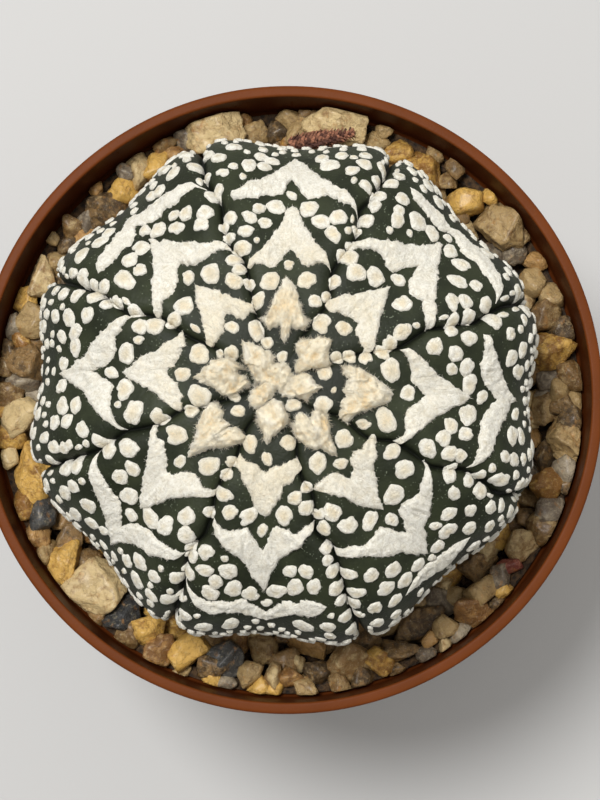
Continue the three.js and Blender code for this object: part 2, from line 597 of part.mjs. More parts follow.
function cactus() {
  const random = randomFrom(11);
  const areoles = Object.values(AREOLES).flat().map(areole);
  for (let rib = 0; rib < FURROWS.length; rib++) areoles.push(oldAreole(rib));
  const taken = [];
  const pads = areoles.map((each) => {
    for (const place of each.places) taken.push({ at: onNet(place, 0), radius: 1.2 });
    return areoleSlab(each);
  });

  const throwFleck = (place, radius) => {
    taken.push({ at: onNet(place, 0), radius });
    pads.push(fleck(place, radius, random() * TAU));
  };
  for (const [x, y, radius] of Object.values(FLECKS).flat()) {
    if (radius > LEAST_FLECK) throwFleck(onBody([x, y]), radius * PIXEL);
  }

  for (let rib = 0; rib < FURROWS.length; rib++) {
    for (let i = 0; i < FLANK_THROWS; i++) {
      const fall = THREE.MathUtils.lerp(...FLANK_FALLS, random());
      const share = 0.04 + 0.92 * random();
      const radius = THREE.MathUtils.lerp(...FLANK_FLECK, random());
      const [start, end] = ribEdges(rib, fall);
      const place = { fall, azimuth: start + share * (end - start) };
      const at = onNet(place, 0);
      const free = taken.every((other) => other.at.distanceTo(at) > other.radius + radius + FLECK_GAP);
      if (free) throwFleck(place, radius);
    }
  }
  return body().add(joined(pads));
}

// One chip of stone: the hull of scattered points on a squashed ball.
const STONE_POINTS = 9;
function stone(middle, length, width, height, turn, random) {
  const points = [];
  for (let i = 0; i < STONE_POINTS; i++) {
    // A spiral spreads the points evenly, and the draws roughen it.
    const level = 1 - 2 * (i + 0.5) / STONE_POINTS;
    const angle = i * 2.39996 + 0.5 * random();
    const ring = Math.sqrt(1 - level * level);
    const swell = 0.86 + 0.28 * random();
    points.push(new THREE.Vector3(
      0.5 * length * swell * ring * Math.cos(angle),
      0.5 * width * swell * ring * Math.sin(angle),
      0.5 * height * swell * level,
    ).applyAxisAngle(new THREE.Vector3(0, 0, 1), turn).add(middle));
  }
  return new ConvexGeometry(points);
}

function grown(geometry, middle, gap) {
  geometry.computeBoundingSphere();
  const factor = 1 + 1.6 * gap / geometry.boundingSphere.radius;
  const copy = geometry.clone().translate(-middle.x, -middle.y, -middle.z);
  return copy.scale(factor, factor, factor).translate(middle.x, middle.y, middle.z);
}

const LAYER_PIXEL = 0.1425; // millimetres at the level of the dressing
function stoneMiddle(x, y, lift, size) {
  const middle = atHeight([x, y], STONE_LAYER);
  const most = innerRadius(STONE_LAYER, CLEARANCE) - 0.5 * size;
  const out = Math.hypot(middle.x, middle.y);
  if (out > most) middle.multiplyScalar(most / out);
  return middle.setZ(STONE_LAYER + lift + GRIT_SLOPE * middle.y);
}

// What a piece in the dressing may fill: the inside of the pot, less the plant, each with its gap.
function freeSpace(plant, from, to) {
  const outline = [[0, from]];
  for (const [radius, height] of innerWall(CLEARANCE)) {
    if (height > from && height < to) outline.push([radius, height]);
  }
  outline.splice(1, 0, [innerRadius(from, CLEARANCE), from]);
  outline.push([innerRadius(to, CLEARANCE), to], [0, to]);
  return solid(turned(outline)).subtract(plant);
}

// Fills the ring between plant and pot: the stones that show, then as many more as fit by rule.
const FILL_RINGS = [[28.5, 21], [33.5, 25], [38.3, 30]]; // ring radius and number of stones
function dressing(space, nests) {
  const random = randomFrom(25);
  const ring = turned([
    [16, MIX_TOP + CLEARANCE], [innerRadius(MIX_TOP, CLEARANCE), MIX_TOP + CLEARANCE],
    [innerRadius(GRIT_TOP, CLEARANCE), GRIT_TOP], [16, GRIT_TOP],
  ], 48);
  const heights = ring.attributes.position;
  for (let i = 0; i < heights.count; i++) {
    if (heights.getZ(i) > MIX_TOP + 1) heights.setZ(i, GRIT_TOP + GRIT_SLOPE * heights.getY(i));
  }
  const stones = [solid(ring)];
  const taken = LARGE_STONES.map(([, x, y, length]) => ({ at: stoneMiddle(x, y, 0, 6), radius: 0.4 * length * LAYER_PIXEL }));
  for (const [x, y, length, width, turn] of SHOWN_STONES) {
    const [long, wide] = [length * LAYER_PIXEL, width * LAYER_PIXEL];
    const middle = stoneMiddle(x, y, 0.6 * random(), 0.5 * (long + wide));
    taken.push({ at: middle, radius: 0.4 * long });
    stones.push(solid(stone(middle, long, wide, 1.1 * wide, radians(turn), random)));
  }
  for (const [radius, count] of FILL_RINGS) {
    for (let i = 0; i < count; i++) {
      const angle = (i + 0.7 * random()) * TAU / count;
      const out = radius + 2 * (random() - 0.5);
      const size = 4 + 1.8 * random();
      const middle = new THREE.Vector3(out * Math.cos(angle), out * Math.sin(angle), 0);
      middle.z = STONE_LAYER - 1.6 + 0.8 * random() + GRIT_SLOPE * middle.y;
      const free = taken.every((other) => other.at.distanceTo(middle) > other.radius + 0.4 * size);
      if (!free) continue;
      taken.push({ at: middle, radius: 0.4 * size });
      stones.push(solid(stone(middle, size, 0.8 * size, 0.9 * size, angle, random)));
    }
  }
  return joined(stones).intersect(space).subtract(joined(nests));
}

// The mix that the roots grow in, with a plain hole for the taproot.
function pottingMix(root) {
  const outline = [
    [0, FLOOR_TOP + CLEARANCE],
    [innerRadius(FLOOR_TOP + 2 * CLEARANCE, CLEARANCE) - CLEARANCE, FLOOR_TOP + CLEARANCE],
    [innerRadius(MIX_TOP, CLEARANCE), MIX_TOP],
    [0, MIX_TOP],
  ];
  return solid(turned(outline)).subtract(root);
}

// The hole for the root, a little wider than the root all the way down.
function rootHole() {
  const outline = TAPROOT.map(([radius, height]) => [radius + 3 * CLEARANCE, height]).reverse();
  const [, top] = outline[outline.length - 1];
  return solid(turned([
    [0, ROOT_TIP - 1], ...outline, [outline[outline.length - 1][0], top + 5], [0, top + 5],
  ], 20));
}

// The dried remains of a flower, dropped between the plant and the stones: a bent stub of small scales.
const FLOWER = { from: [291, 143], to: [346, 134], height: 75.9, thickness: 3.2, scales: 8 };
function driedFlower() {
  const random = randomFrom(5);
  const [start, end] = [atHeight(FLOWER.from, FLOWER.height), atHeight(FLOWER.to, FLOWER.height)];
  const along = new THREE.Vector3().subVectors(end, start);
  const middle = start.clone().add(end).multiplyScalar(0.5);
  const turn = Math.atan2(along.y, along.x);
  const scales = [solid(stone(middle, along.length(), FLOWER.thickness, FLOWER.thickness, turn, random))];
  for (let i = 0; i < FLOWER.scales; i++) {
    const share = (i + 0.5) / FLOWER.scales;
    const at = start.clone().lerp(end, 0.08 + 0.84 * share);
    at.z += 0.32 * FLOWER.thickness * Math.cos(i * 2.1);
    at.addScaledVector(new THREE.Vector3(-along.y, along.x, 0).normalize(), 0.32 * FLOWER.thickness * Math.sin(i * 2.1));
    scales.push(solid(stone(at, 2.2, 1.5, 1.8, turn + i, random)));
  }
  return joined(scales);
}

function piece(name, manifold, color, roughness) {
  const material = new THREE.MeshStandardMaterial({ color, roughness, metalness: 0, flatShading: true });
  const mesh = new THREE.Mesh(geometryOf(manifold), material);
  mesh.name = name;
  return mesh;
}

const STONE_COLOURS = {
  stone_cream_southwest: 0xb99a68, stone_gold_southwest: 0xc79a3e, stone_gold_west: 0xcda050,
  stone_slate_south: 0x3b3c3a, stone_cream_north: 0xcbb083, stone_green_north: 0xb9a878,
  stone_cream_northeast: 0xb3955c, stone_peach_east: 0xa98660,
};

function pottedCactus() {
  const plant = cactus();
  const plantRoom = body(FELT_THICKNESS + CLEARANCE);
  const space = freeSpace(plantRoom, MIX_TOP + CLEARANCE, POT_HEIGHT - 1);
  const group = new THREE.Group();
  group.add(piece('pot', pot(), 0x9a5638, 0.5));
  group.add(piece('potting_mix', pottingMix(rootHole()), 0x3a2c20, 1));
  group.add(piece('cactus', plant, 0x42503c, 0.6));

  const random = randomFrom(37);
  const nests = [];
  for (const [name, x, y, length, width, turn, lift] of LARGE_STONES) {
    const [long, wide] = [length * LAYER_PIXEL, width * LAYER_PIXEL];
    const middle = stoneMiddle(x, y, lift, 0.5 * (long + wide));
    const chip = stone(middle, long, wide, 0.85 * wide, radians(turn), random);
    const others = nests.length ? joined(nests) : null;
    let kept = solid(chip).intersect(space);
    if (others) kept = kept.subtract(others);
    group.add(piece(name, kept, STONE_COLOURS[name], 0.8));
    nests.push(solid(grown(chip, middle, CLEARANCE)));
  }

  const flower = driedFlower().subtract(plantRoom).subtract(joined(nests));
  group.add(piece('dried_flower', flower, 0x6b3b26, 0.9));
  group.add(piece('top_dressing', dressing(space, nests), 0xa88450, 0.85));
  return group;
}

export default pottedCactus();
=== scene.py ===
"""The looks of a potted super kabuto star cactus, built over its CAD frame."""

import itertools
import math
from collections import namedtuple

import bmesh
import bpy
import numpy as np
from bpy.props import FloatProperty, FloatVectorProperty, IntProperty, PointerProperty
from bpy.types import Operator, Panel, PropertyGroup
from mathutils import Matrix, Vector


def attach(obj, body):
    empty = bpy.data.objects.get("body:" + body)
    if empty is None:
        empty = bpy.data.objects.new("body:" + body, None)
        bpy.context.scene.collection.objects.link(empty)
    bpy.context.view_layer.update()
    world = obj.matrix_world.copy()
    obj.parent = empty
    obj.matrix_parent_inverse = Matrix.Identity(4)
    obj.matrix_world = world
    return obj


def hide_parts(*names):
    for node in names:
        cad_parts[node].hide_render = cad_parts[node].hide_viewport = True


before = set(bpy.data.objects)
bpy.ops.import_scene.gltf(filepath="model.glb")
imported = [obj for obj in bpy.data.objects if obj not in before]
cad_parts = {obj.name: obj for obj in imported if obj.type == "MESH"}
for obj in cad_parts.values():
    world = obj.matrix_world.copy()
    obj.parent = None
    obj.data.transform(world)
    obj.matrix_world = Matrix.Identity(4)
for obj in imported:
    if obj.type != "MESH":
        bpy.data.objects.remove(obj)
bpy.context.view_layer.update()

bl_info = {
    "name": "Potted Star Cactus",
    "version": (1, 0, 0),
    "blender": (4, 5, 0),
    "location": "View3D > Sidebar > Cactus",
    "description": "Builds the skin, felt, wool, stones, pot and studio of a potted star cactus",
    "category": "Object",
}

MM = 0.001
TAU = 2 * math.pi
GOLDEN_ANGLE = math.pi * (3 - math.sqrt(5))
TINY = 1e-12
BODY = "root"

# Sizes of the pot in millimetres, shared with the solids.
POT_HEIGHT = 80.0
RIM_RADIUS = 45.0
RIM_LIP = 1.9
LIP_TAPER = 0.2
COLLAR_HEIGHT = 10.0
COLLAR_STEP = 1.5
COLLAR_TAPER = 0.6
COLLAR_FOOT = POT_HEIGHT - COLLAR_HEIGHT
LEDGE_TOP = COLLAR_FOOT + 1.2
WALL = 1.4
WALL_TOP_RADIUS = RIM_RADIUS - COLLAR_TAPER - COLLAR_STEP
FOOT_RADIUS = 30.6
FOOT_WIDTH = 2.4
FOOT_FLARE = 0.6
FOOT_HEIGHT = 2.5
FLOOR_BOTTOM = 1.6
FLOOR_TOP = 3.2
DRAIN_HOLES = 6
DRAIN_RADIUS = 2.6
DRAIN_CIRCLE = 21.0

# Heights of what fills the pot, the gap between loose things, and how much the stones rise to the north.
CLEARANCE = 0.35
MIX_TOP = 60.0
GRIT_TOP = 69.3
STONE_LAYER = 70.0
GRIT_SLOPE = 0.03

# The plant's body, its ribs and its furrows. The fullness is the power that makes the body squarer than a
# ball.
BODY_RADIUS = 34.6
WAIST_HEIGHT = 90.0
CROWN_RISE = 20.0
BASE_DROP = 26.0
FULLNESS = 0.91
SWELL = 1.3
RIBS_START = 3
FURROW_DEPTH = 2.1
FURROW_WIDTH = 1.0
FURROW_START = (1, 9)
YOUNG_FURROW = 0.35
CREASE_DEPTH = 0.5
CREASE_WIDTH = 0.2
CREASE_START = (2, 10)
CROWN_DIP = 1.2
CROWN_DIP_RADIUS = 5
NECK_FALL = 2.72
TAPROOT = [(9.0, 61.5), (7.2, 56.0), (5.4, 47.0), (3.4, 38.0), (0.3, 33.0)]

# The camera, through which the pixels below are read, in millimetres and pixels of a frame of 600 by 800.
EYE = np.array((8.1, -23.3, 369.0))
AIM = np.array((1.87, -0.57, POT_HEIGHT))
FOCAL_PIXELS = 2035.0
FRAME_WIDTH = 600
FRAME_HEIGHT = 800
SENSOR_HEIGHT = 24.0

# How many millimetres a pixel covers on the plant and on the stones.
PIXEL = 0.138
LAYER_PIXEL = 0.1425

# Eight furrows, anticlockwise from the one below the +X rib, each from the crown outwards.
FURROWS = [
    [(307, 405), (339, 415), (350, 423), (364, 436), (371, 439), (393, 441), (408, 449), (422, 459),
     (431, 467), (443, 469), (466, 470), (479, 479), (491, 485), (494, 492), (506, 496), (516, 500),
     (531, 495)],
    [(313, 369), (340, 358), (366, 352), (382, 350), (399, 348), (410, 341), (428, 328), (443, 327),
     (457, 324), (478, 322), (491, 312), (507, 305), (525, 303), (535, 305)],
    [(300, 340), (316, 318), (328, 304), (332, 272), (342, 255), (356, 241), (358, 228), (360, 209),
     (374, 195), (389, 170), (393, 161), (395, 152)],
    [(268, 345), (258, 322), (251, 292), (247, 270), (241, 255), (231, 248), (223, 228), (222, 209),
     (221, 202), (207, 184), (204, 176), (203, 166), (200, 149)],
    [(248, 362), (225, 356), (214, 346), (193, 339), (179, 330), (163, 318), (142, 313), (129, 315),
     (124, 311), (110, 301), (99, 292), (87, 288), (76, 285), (61, 281), (54, 278)],
    [(244, 394), (224, 400), (207, 405), (181, 409), (171, 416), (159, 424), (139, 429), (124, 431),
     (117, 437), (97, 451), (79, 457), (55, 465), (38, 469)],
    [(259, 414), (248, 424), (240, 444), (235, 462), (223, 477), (214, 494), (212, 513), (204, 536),
     (193, 546), (185, 564), (184, 579), (180, 595), (176, 608), (172, 623)],
    [(290, 424), (296, 437), (297, 459), (301, 477), (307, 488), (313, 493), (314, 522), (318, 536),
     (333, 546), (338, 561), (345, 591), (348, 601), (357, 620), (361, 629)],
]

# The felt areoles, each as its outline: from one arm's end along the outer edge to the tip and the other
# arm's end, and back along the inner edge. The numbers after it say which points are the tip, the far end
# and the notch.
OLD_AREOLES = [
    # +X rib
    ([(401, 349.3), (410.4, 349.3), (419.7, 355.8), (431, 366), (442, 376.4), (453.4, 382), (464.6, 389.5),
      (474, 393.2), (476, 398), (470, 404.5), (459, 407.3), (447.8, 413), (436.6, 418.5), (427.2, 425),
      (418, 431.6), (410.4, 438), (403, 443.7), (394.5, 441.3), (403, 435.3), (405.7, 429.7),
      (403.8, 421.3), (405.7, 412), (412.3, 405.4), (425.3, 395), (418, 387.6), (410.4, 381),
      (410.4, 371.7), (408.5, 363.3), (405.7, 355.8)], 8, 17, 23),
    ([(480.5, 335.3), (486, 336.2), (489.8, 345.6), (497.3, 355.8), (504, 367), (511.3, 379.2),
      (515, 389.5), (522.6, 397), (525, 401), (518.8, 404.5), (513.2, 416.6), (505.7, 424), (498.3, 435.3),
      (492.6, 446.5), (484.2, 456), (475.8, 463.3), (467.4, 468), (472, 457.7), (475.8, 446.5),
      (477.7, 437.2), (482.4, 429.7), (482.4, 421.3), (489, 413), (496.4, 404.5), (503, 399.8),
      (496.4, 390.4), (489, 384.8), (484.2, 375.5), (479.6, 365.2), (482.4, 355.8), (480.5, 345.6)], 8, 16,
      24),
    # +X +Y rib
    ([(327, 305.2), (330.4, 298.3), (339, 296.5), (346, 293), (353, 294.8), (363.5, 290.4), (374, 287.8),
      (384.3, 285.2), (393.5, 283.3), (390.4, 291.3), (387.8, 300), (386, 308.7), (381.7, 315.7),
      (380, 326), (377.4, 336.5), (375.3, 347.8), (364, 352.5), (361.7, 343.5), (356.5, 334.8),
      (354, 329.6), (357.4, 324.3), (352.2, 320), (346, 316.5), (339, 313), (332.2, 313), (327.8, 309.6)],
      8, 16, 21),
    ([(347, 248.7), (352.2, 241), (360, 241.2), (370.4, 239), (381, 241), (391.3, 239), (403.5, 240),
      (414, 241.2), (424.3, 240), (434.8, 240), (443.5, 236.5), (448, 239.5), (446, 247.8), (445.2, 254.8),
      (441.7, 265.2), (441.7, 272.2), (438.3, 284.3), (437.4, 293), (434.8, 301.7), (436.2, 312.2),
      (434, 324.3), (427.8, 329.6), (424.3, 319), (422.6, 308.7), (421.7, 301), (414.8, 297.4),
      (408.7, 291.3), (409.6, 282.6), (414.8, 272.2), (420, 263.5), (407, 265.2), (400, 268.7),
      (393, 272.2), (387.8, 267.8), (384.3, 260), (379, 253), (370.4, 251), (360, 249.6), (353, 247.8)], 11,
      21, 29),
    ([(407.8, 190.8), (417.4, 194.8), (427.8, 201), (438.3, 206), (448.7, 214.8), (457.4, 222.6),
      (464.3, 226), (468, 230.5), (473, 236.5), (481.7, 245.2), (487, 254.8), (492.2, 265.2),
      (495.7, 277.4), (498.3, 291.3), (494, 304.3), (492.2, 294.8), (488.7, 286), (481, 275.7),
      (478.3, 265.2), (471.3, 254.8), (465.2, 247.8), (463.5, 239), (460, 231.3), (452.2, 227),
      (441.7, 223.5), (431.3, 216.5), (421, 207), (412.2, 201)], 7, 14, 22),
    # +Y rib
    ([(247.5, 265), (251, 258.3), (260, 249.6), (268.5, 239), (275.4, 228.7), (282.4, 216.5),
      (286.7, 204.3), (292.5, 200.5), (297.2, 203.5), (301.5, 213), (308.5, 228.7), (317.2, 242.6),
      (324, 251.3), (327.6, 260), (331.4, 270.4), (326, 265.2), (317.2, 263.8), (308.5, 267.5),
      (301.5, 262.6), (296.3, 254), (290.2, 249), (285, 254), (279, 263.5), (270.2, 269.6), (263.3, 264.3),
      (256.3, 263.8), (250.2, 269.6)], 7, 14, 20),
    ([(231, 198), (232.8, 194), (240, 192.2), (247.6, 183.5), (258, 177.4), (268.5, 171.3), (279, 162.6),
      (286, 158.3), (295, 150.5), (301.5, 154), (308.5, 160), (317.2, 168.7), (324, 175.7), (331, 181),
      (338, 188.7), (346.7, 194), (353.7, 202.6), (359.8, 216.5), (355.4, 211.3), (348.5, 207),
      (339.8, 206), (334.6, 200), (327.6, 196), (317.2, 196.5), (306.7, 196.5), (300.7, 190.4),
      (296.3, 181.7), (292, 174), (287.6, 179), (283.3, 190.4), (275.4, 194), (265, 193.6), (259.8, 195.7),
      (258, 199), (246, 200), (233.7, 203)], 8, 17, 27),
    # -X +Y rib
    ([(256, 312), (251.3, 307), (250, 301.5), (245, 301), (236, 298), (225.4, 293.4), (216.3, 288),
      (204, 285), (193.3, 282.5), (194.2, 291), (193.5, 298.7), (198.8, 309.4), (200.3, 320), (204, 332),
      (205.7, 342.8), (211.7, 346), (216.3, 341.3), (224, 332), (225, 318), (228, 314.7), (233, 314.7),
      (238.4, 320), (243.7, 319.2), (249.8, 312.4)], 8, 15, 18),
    ([(231.5, 250), (228.5, 246.2), (224, 243.2), (217.8, 241.2), (210.2, 243.6), (201, 244), (195, 240),
      (186, 240), (176.7, 239.7), (169, 237.5), (163, 234.8), (155.4, 237.5), (148.6, 233.3), (144, 234),
      (146.3, 239.4), (147.8, 247), (149.4, 259), (151, 269.8), (149.4, 280.4), (152.4, 292.6),
      (153.2, 304.8), (154, 314), (158, 318), (162.3, 309.4), (164.6, 301.7), (173, 294), (176.7, 286.5),
      (178.3, 277.4), (176, 267), (179.8, 262.2), (187.4, 263.7), (193.5, 265.5), (202, 261.4),
      (208.7, 257.6), (216.3, 253), (224, 251.5)], 13, 22, 28),
    ([(207.2, 190.7), (199.6, 189), (193.5, 186), (182.8, 188.4), (173.7, 190.7), (163, 195.2),
      (151, 199.8), (140.2, 205), (134, 209), (122, 212), (119.5, 217.5), (115, 227.2), (109.8, 237.8),
      (105.2, 247), (101.4, 259), (98.4, 268.3), (101.4, 275.6), (106.7, 271.3), (114.4, 263.7), (119, 256),
      (123.5, 245.4), (129.6, 237.8), (132, 228.7), (131, 221), (137.2, 220), (149.4, 218), (160, 213.5),
      (163, 207.4), (175.2, 205), (181.3, 201.3), (189, 196), (196.5, 191.4)], 10, 16, 23),
    # -X rib
    ([(180.6, 329), (178, 333), (176.5, 337.7), (169.8, 341), (161.7, 344.5), (156.3, 350), (149.6, 352),
      (141.5, 354.6), (133.4, 359.3), (126.7, 366), (117.2, 371.4), (124, 376.8), (128, 379.5),
      (137.4, 384.2), (147, 390.3), (156.3, 394.4), (164.4, 402.4), (173.8, 409.2), (178, 412),
      (182, 403.8), (183.3, 397), (179.2, 389), (176.5, 382.2), (169.8, 376.8), (167.8, 370), (173.8, 366),
      (179.2, 358), (182, 350), (186.6, 346.5), (184.6, 339)], 10, 18, 24),
    ([(130.7, 316.8), (125.3, 315.5), (117.2, 320.2), (110.5, 327), (101, 331.7), (94.3, 339),
      (86.2, 344.5), (79.5, 354.6), (67.3, 360.7), (63.3, 366), (50, 373), (63.3, 383), (66.7, 383.6),
      (71.4, 387.6), (79.5, 393), (86.2, 401), (93, 409.2), (102.4, 417.3), (113.2, 424), (118.6, 429.4),
      (125.3, 430), (120, 425.4), (114.5, 416), (110.5, 405), (109.8, 395.7), (112.5, 386.3),
      (107.8, 380.2), (99.7, 376.2), (88.2, 370), (95.7, 367.4), (105, 364.7), (111.8, 358), (116, 350),
      (114.5, 341.8), (116, 336.4), (121.3, 331), (125.3, 323)], 10, 20, 28),
    # -X -Y rib
    ([(156.4, 424.4), (151, 426.5), (150.4, 431.2), (149.7, 439.3), (147.7, 450), (145.7, 462.2),
      (143, 471.6), (139.6, 482.4), (137, 493.2), (135, 502.6), (136, 512), (143, 510.7), (152.4, 507.3),
      (160.5, 504), (168.6, 500), (179.4, 499.2), (190, 497.2), (201, 498), (209, 498), (213, 496),
      (215, 490.5), (209, 489.4), (202.3, 486.4), (200.2, 479.7), (195.5, 474.3), (187.4, 471.6),
      (179.4, 471.6), (170.6, 474.3), (166, 469), (167.5, 459.5), (166.5, 448.7), (164.5, 440),
      (157.8, 436.6), (157.8, 431.2)], 10, 20, 27),
    ([(97.8, 450.7), (95.8, 455.4), (93, 466.2), (91.7, 477), (94.4, 485), (94.4, 493.2), (97.8, 504),
      (99.2, 517.4), (99.8, 528.2), (103.2, 540.4), (105.2, 551), (110.6, 547.8), (120, 547.8),
      (130.8, 547.8), (141.6, 551), (149.7, 556), (160.5, 555.2), (171.3, 557.6), (179.4, 556.5),
      (185.4, 552.5), (179.4, 549.8), (171.3, 545.7), (163.2, 541.7), (153.7, 535.6), (148.4, 530.2),
      (141.6, 529), (132.2, 525.5), (124, 527), (116.7, 529.6), (117.3, 520), (118, 509.4), (116.7, 498.6),
      (110.6, 490.5), (106.6, 478.4), (101.8, 470.3), (98.5, 460.8)], 10, 19, 28),
    # -Y rib
    ([(239.7, 453.4), (235.3, 465), (238.8, 470.3), (243.3, 481), (249.5, 495.3), (253, 506), (256.6, 515),
      (264.7, 519.3), (269, 516.6), (274.5, 509.5), (281.6, 497), (283.4, 488), (290.5, 484.6),
      (296.8, 474), (301.2, 466.7), (296.8, 457), (292.3, 459.6), (281.6, 463.2), (271, 466.7),
      (265.6, 471.2), (260.2, 468.5), (255, 462.3), (246, 461.4)], 7, 14, 19),
    ([(213.9, 518.4), (213, 525.6), (218.3, 538), (222.8, 547), (238.8, 561.2), (246.8, 571),
      (251.3, 582.6), (256.6, 588), (263.4, 598.6), (266.5, 593.3), (269, 582.6), (274.5, 573.7),
      (279.8, 563), (287, 557.6), (299.4, 548.7), (304.8, 539.8), (312, 531), (315.5, 522.4),
      (304.8, 525.6), (297.6, 532.7), (290.5, 532.7), (285.2, 528.2), (276.3, 526.5), (271, 531),
      (267.3, 542.5), (262, 551.4), (257.5, 545.2), (253, 538), (247.7, 529), (238.8, 529), (228, 530),
      (222.8, 527.3)], 8, 17, 25),
    ([(184.5, 580.8), (189, 588), (197.8, 600.4), (210.3, 609.3), (233.5, 614.7), (247.7, 621),
      (265.6, 627.2), (272.7, 626.3), (285.2, 621), (296, 616.5), (310, 616.5), (320.8, 611), (326.2, 603),
      (319, 599.5), (304.8, 599.5), (297.6, 605), (287, 604), (272.7, 613), (265.6, 619), (258.4, 614.7),
      (247.7, 607.6), (240.6, 601.3), (233.5, 604), (219.2, 600.4), (206.7, 597), (196, 589.7)], 6, 12, 18),
    # +X -Y rib
    ([(313, 489.5), (323.7, 493), (336.5, 496.8), (345.7, 499.5), (354.8, 505), (367.6, 509.6),
      (378.5, 511.4), (386.7, 513.2), (380.4, 496.8), (378.5, 480.4), (375, 467.6), (377.6, 454.8),
      (375, 441), (370.3, 439.3), (364, 443), (362, 449.3), (353, 450.2), (350.2, 456.6), (352, 467.6),
      (350.2, 478.5), (344.7, 476.7), (338.3, 471.2), (331, 471.2), (323.7, 478.5), (314.6, 485.8)], 7, 13,
      19),
    ([(333, 548), (340.2, 556), (360.3, 556), (376.7, 557.4), (391.3, 559), (404, 556), (413.2, 559.8),
      (422.4, 560.7), (433, 559.5), (431.5, 544.3), (428.7, 529.7), (432.4, 517), (432.4, 498.6),
      (430.6, 480.4), (428.7, 465.7), (426, 459.3), (425, 467.6), (420.5, 480.4), (417.8, 493),
      (409.6, 500.4), (401.4, 505), (399.5, 513.2), (406, 526), (408.7, 535), (398.6, 533.3),
      (389.5, 528.7), (380.4, 528.7), (373, 537), (365.7, 543.4), (351, 544.3), (339.3, 548.8)], 8, 15, 23),
    ([(406, 597), (421, 590), (434, 583), (447, 577), (459, 563), (466, 550), (471, 538), (461, 545),
      (450, 554), (441, 563), (428, 573), (416, 584)], 3, 6, 9),
]
# The young areoles round the crown, in the same form.
YOUNG_AREOLES = [
    ([(342.5, 367.5), (350.6, 364.6), (358, 367), (367.4, 372.7), (378.6, 379.2), (387, 384.8),
      (395.5, 394), (393, 399.5), (386, 404.5), (375, 408), (365.5, 411), (354.3, 414.7), (348, 424.5),
      (343, 419), (338.8, 412.5), (341, 401.5), (346.4, 395.4), (341.5, 390), (345.7, 384.8),
      (347.2, 378.7), (343.4, 374)], 6, 12, 17),
    ([(244.5, 369.3), (237.6, 365), (226, 359), (217.8, 359), (210, 360.4), (204, 366.5), (197, 373),
      (191.5, 377), (201, 383.3), (207, 386.3), (214.8, 390), (221.6, 395.4), (228, 394.7), (235.3, 392.4),
      (240.7, 387.5), (248.5, 386), (249.5, 380), (245.2, 375), (239, 374), (240, 371)], 7, 15, 18),
    ([(217, 404), (209, 406), (204, 411), (200, 418), (195.5, 428), (192, 440), (188, 450), (186, 458.5),
      (195, 456), (204, 451.7), (211.7, 449.5), (222.4, 448.7), (230, 447), (240, 442), (242.5, 434),
      (240.7, 429), (234, 426.6), (225.4, 429), (230, 423), (223.5, 418), (224, 412)], 7, 13, 17),
    ([(291, 423.5), (294.7, 430.4), (297, 436.5), (301.5, 442), (307.6, 448), (314, 450), (321.3, 450.2),
      (329, 454), (337.5, 457.5), (335.8, 448.7), (332.7, 442), (330.4, 433.5), (331, 427.4), (329, 421.3),
      (326, 413), (318, 412.5), (312, 410.7), (310, 416.7), (307, 418), (304.6, 413.7), (300, 410.7),
      (295.5, 413), (296, 418), (299, 422)], 8, 14, 18),
    ([(258, 422), (260.4, 430.4), (263.5, 435), (264.2, 441), (267.5, 446), (273.4, 438), (280.2, 432.7),
      (284.8, 427.4), (288, 421.5), (286, 414), (283, 407), (282, 400), (273, 397), (264, 403),
      (260.4, 410), (258.5, 416)], 4, 8, 12),
    ([(261.5, 317.4), (267.6, 314), (272, 301.7), (277.2, 289.6), (281.5, 279), (286, 274.8), (292, 279),
      (296.3, 287.8), (299.8, 298.3), (301.5, 312.2), (309.3, 320), (303, 330.5), (297, 330), (291, 326),
      (288, 336), (284.5, 344.5), (282.5, 338), (281, 327), (277, 328), (269.5, 330.5), (265, 324)], 5, 10,
      15),
    ([(301.5, 339), (310.7, 338.4), (319.8, 336.4), (329, 336.4), (332.8, 339), (331.2, 345),
      (330.4, 351.3), (330.4, 359.7), (327.4, 364.2), (322.8, 367.3), (316.8, 368.8), (310.7, 368),
      (303.8, 370.3), (300, 372.6), (295.4, 373), (293, 369.6), (294, 364), (298.5, 359.7), (297.3, 355),
      (294.7, 348.3)], 4, 8, 14),
    ([(253, 385), (255, 377), (250, 369), (242, 361), (243.7, 354.4), (240.7, 346.7), (241.4, 339),
      (247.5, 340.7), (256, 344.5), (262, 347.5), (269.6, 349.5), (274, 356), (273, 368), (269, 376),
      (262, 382)], 6, 11, 14),
    ([(291, 378), (301.5, 375), (307.6, 372.5), (312.5, 376), (315, 381.7), (324.5, 387.5), (315, 391.6),
      (312, 395.6), (307, 400.5), (301, 398.5), (297, 396), (290, 399), (281, 396), (280, 388), (283, 381)],
      5, 8, 12),
    ([(256, 386.5), (250, 391), (247, 398), (250, 407), (258, 409), (264, 404), (272, 397), (277, 388),
      (270, 379), (263, 382)], 2, 4, 7),
    ([(273, 377), (276, 366), (283, 360), (290, 366), (293, 377), (289, 388), (280, 394), (273, 387)], 2, 4,
      6),
    # the matted wool between the youngest tufts
    ([(254, 374), (263, 365), (275, 360), (286, 363), (294, 373), (291, 384), (281, 391), (268, 389),
      (259, 383)], 3, 5, 7),
]

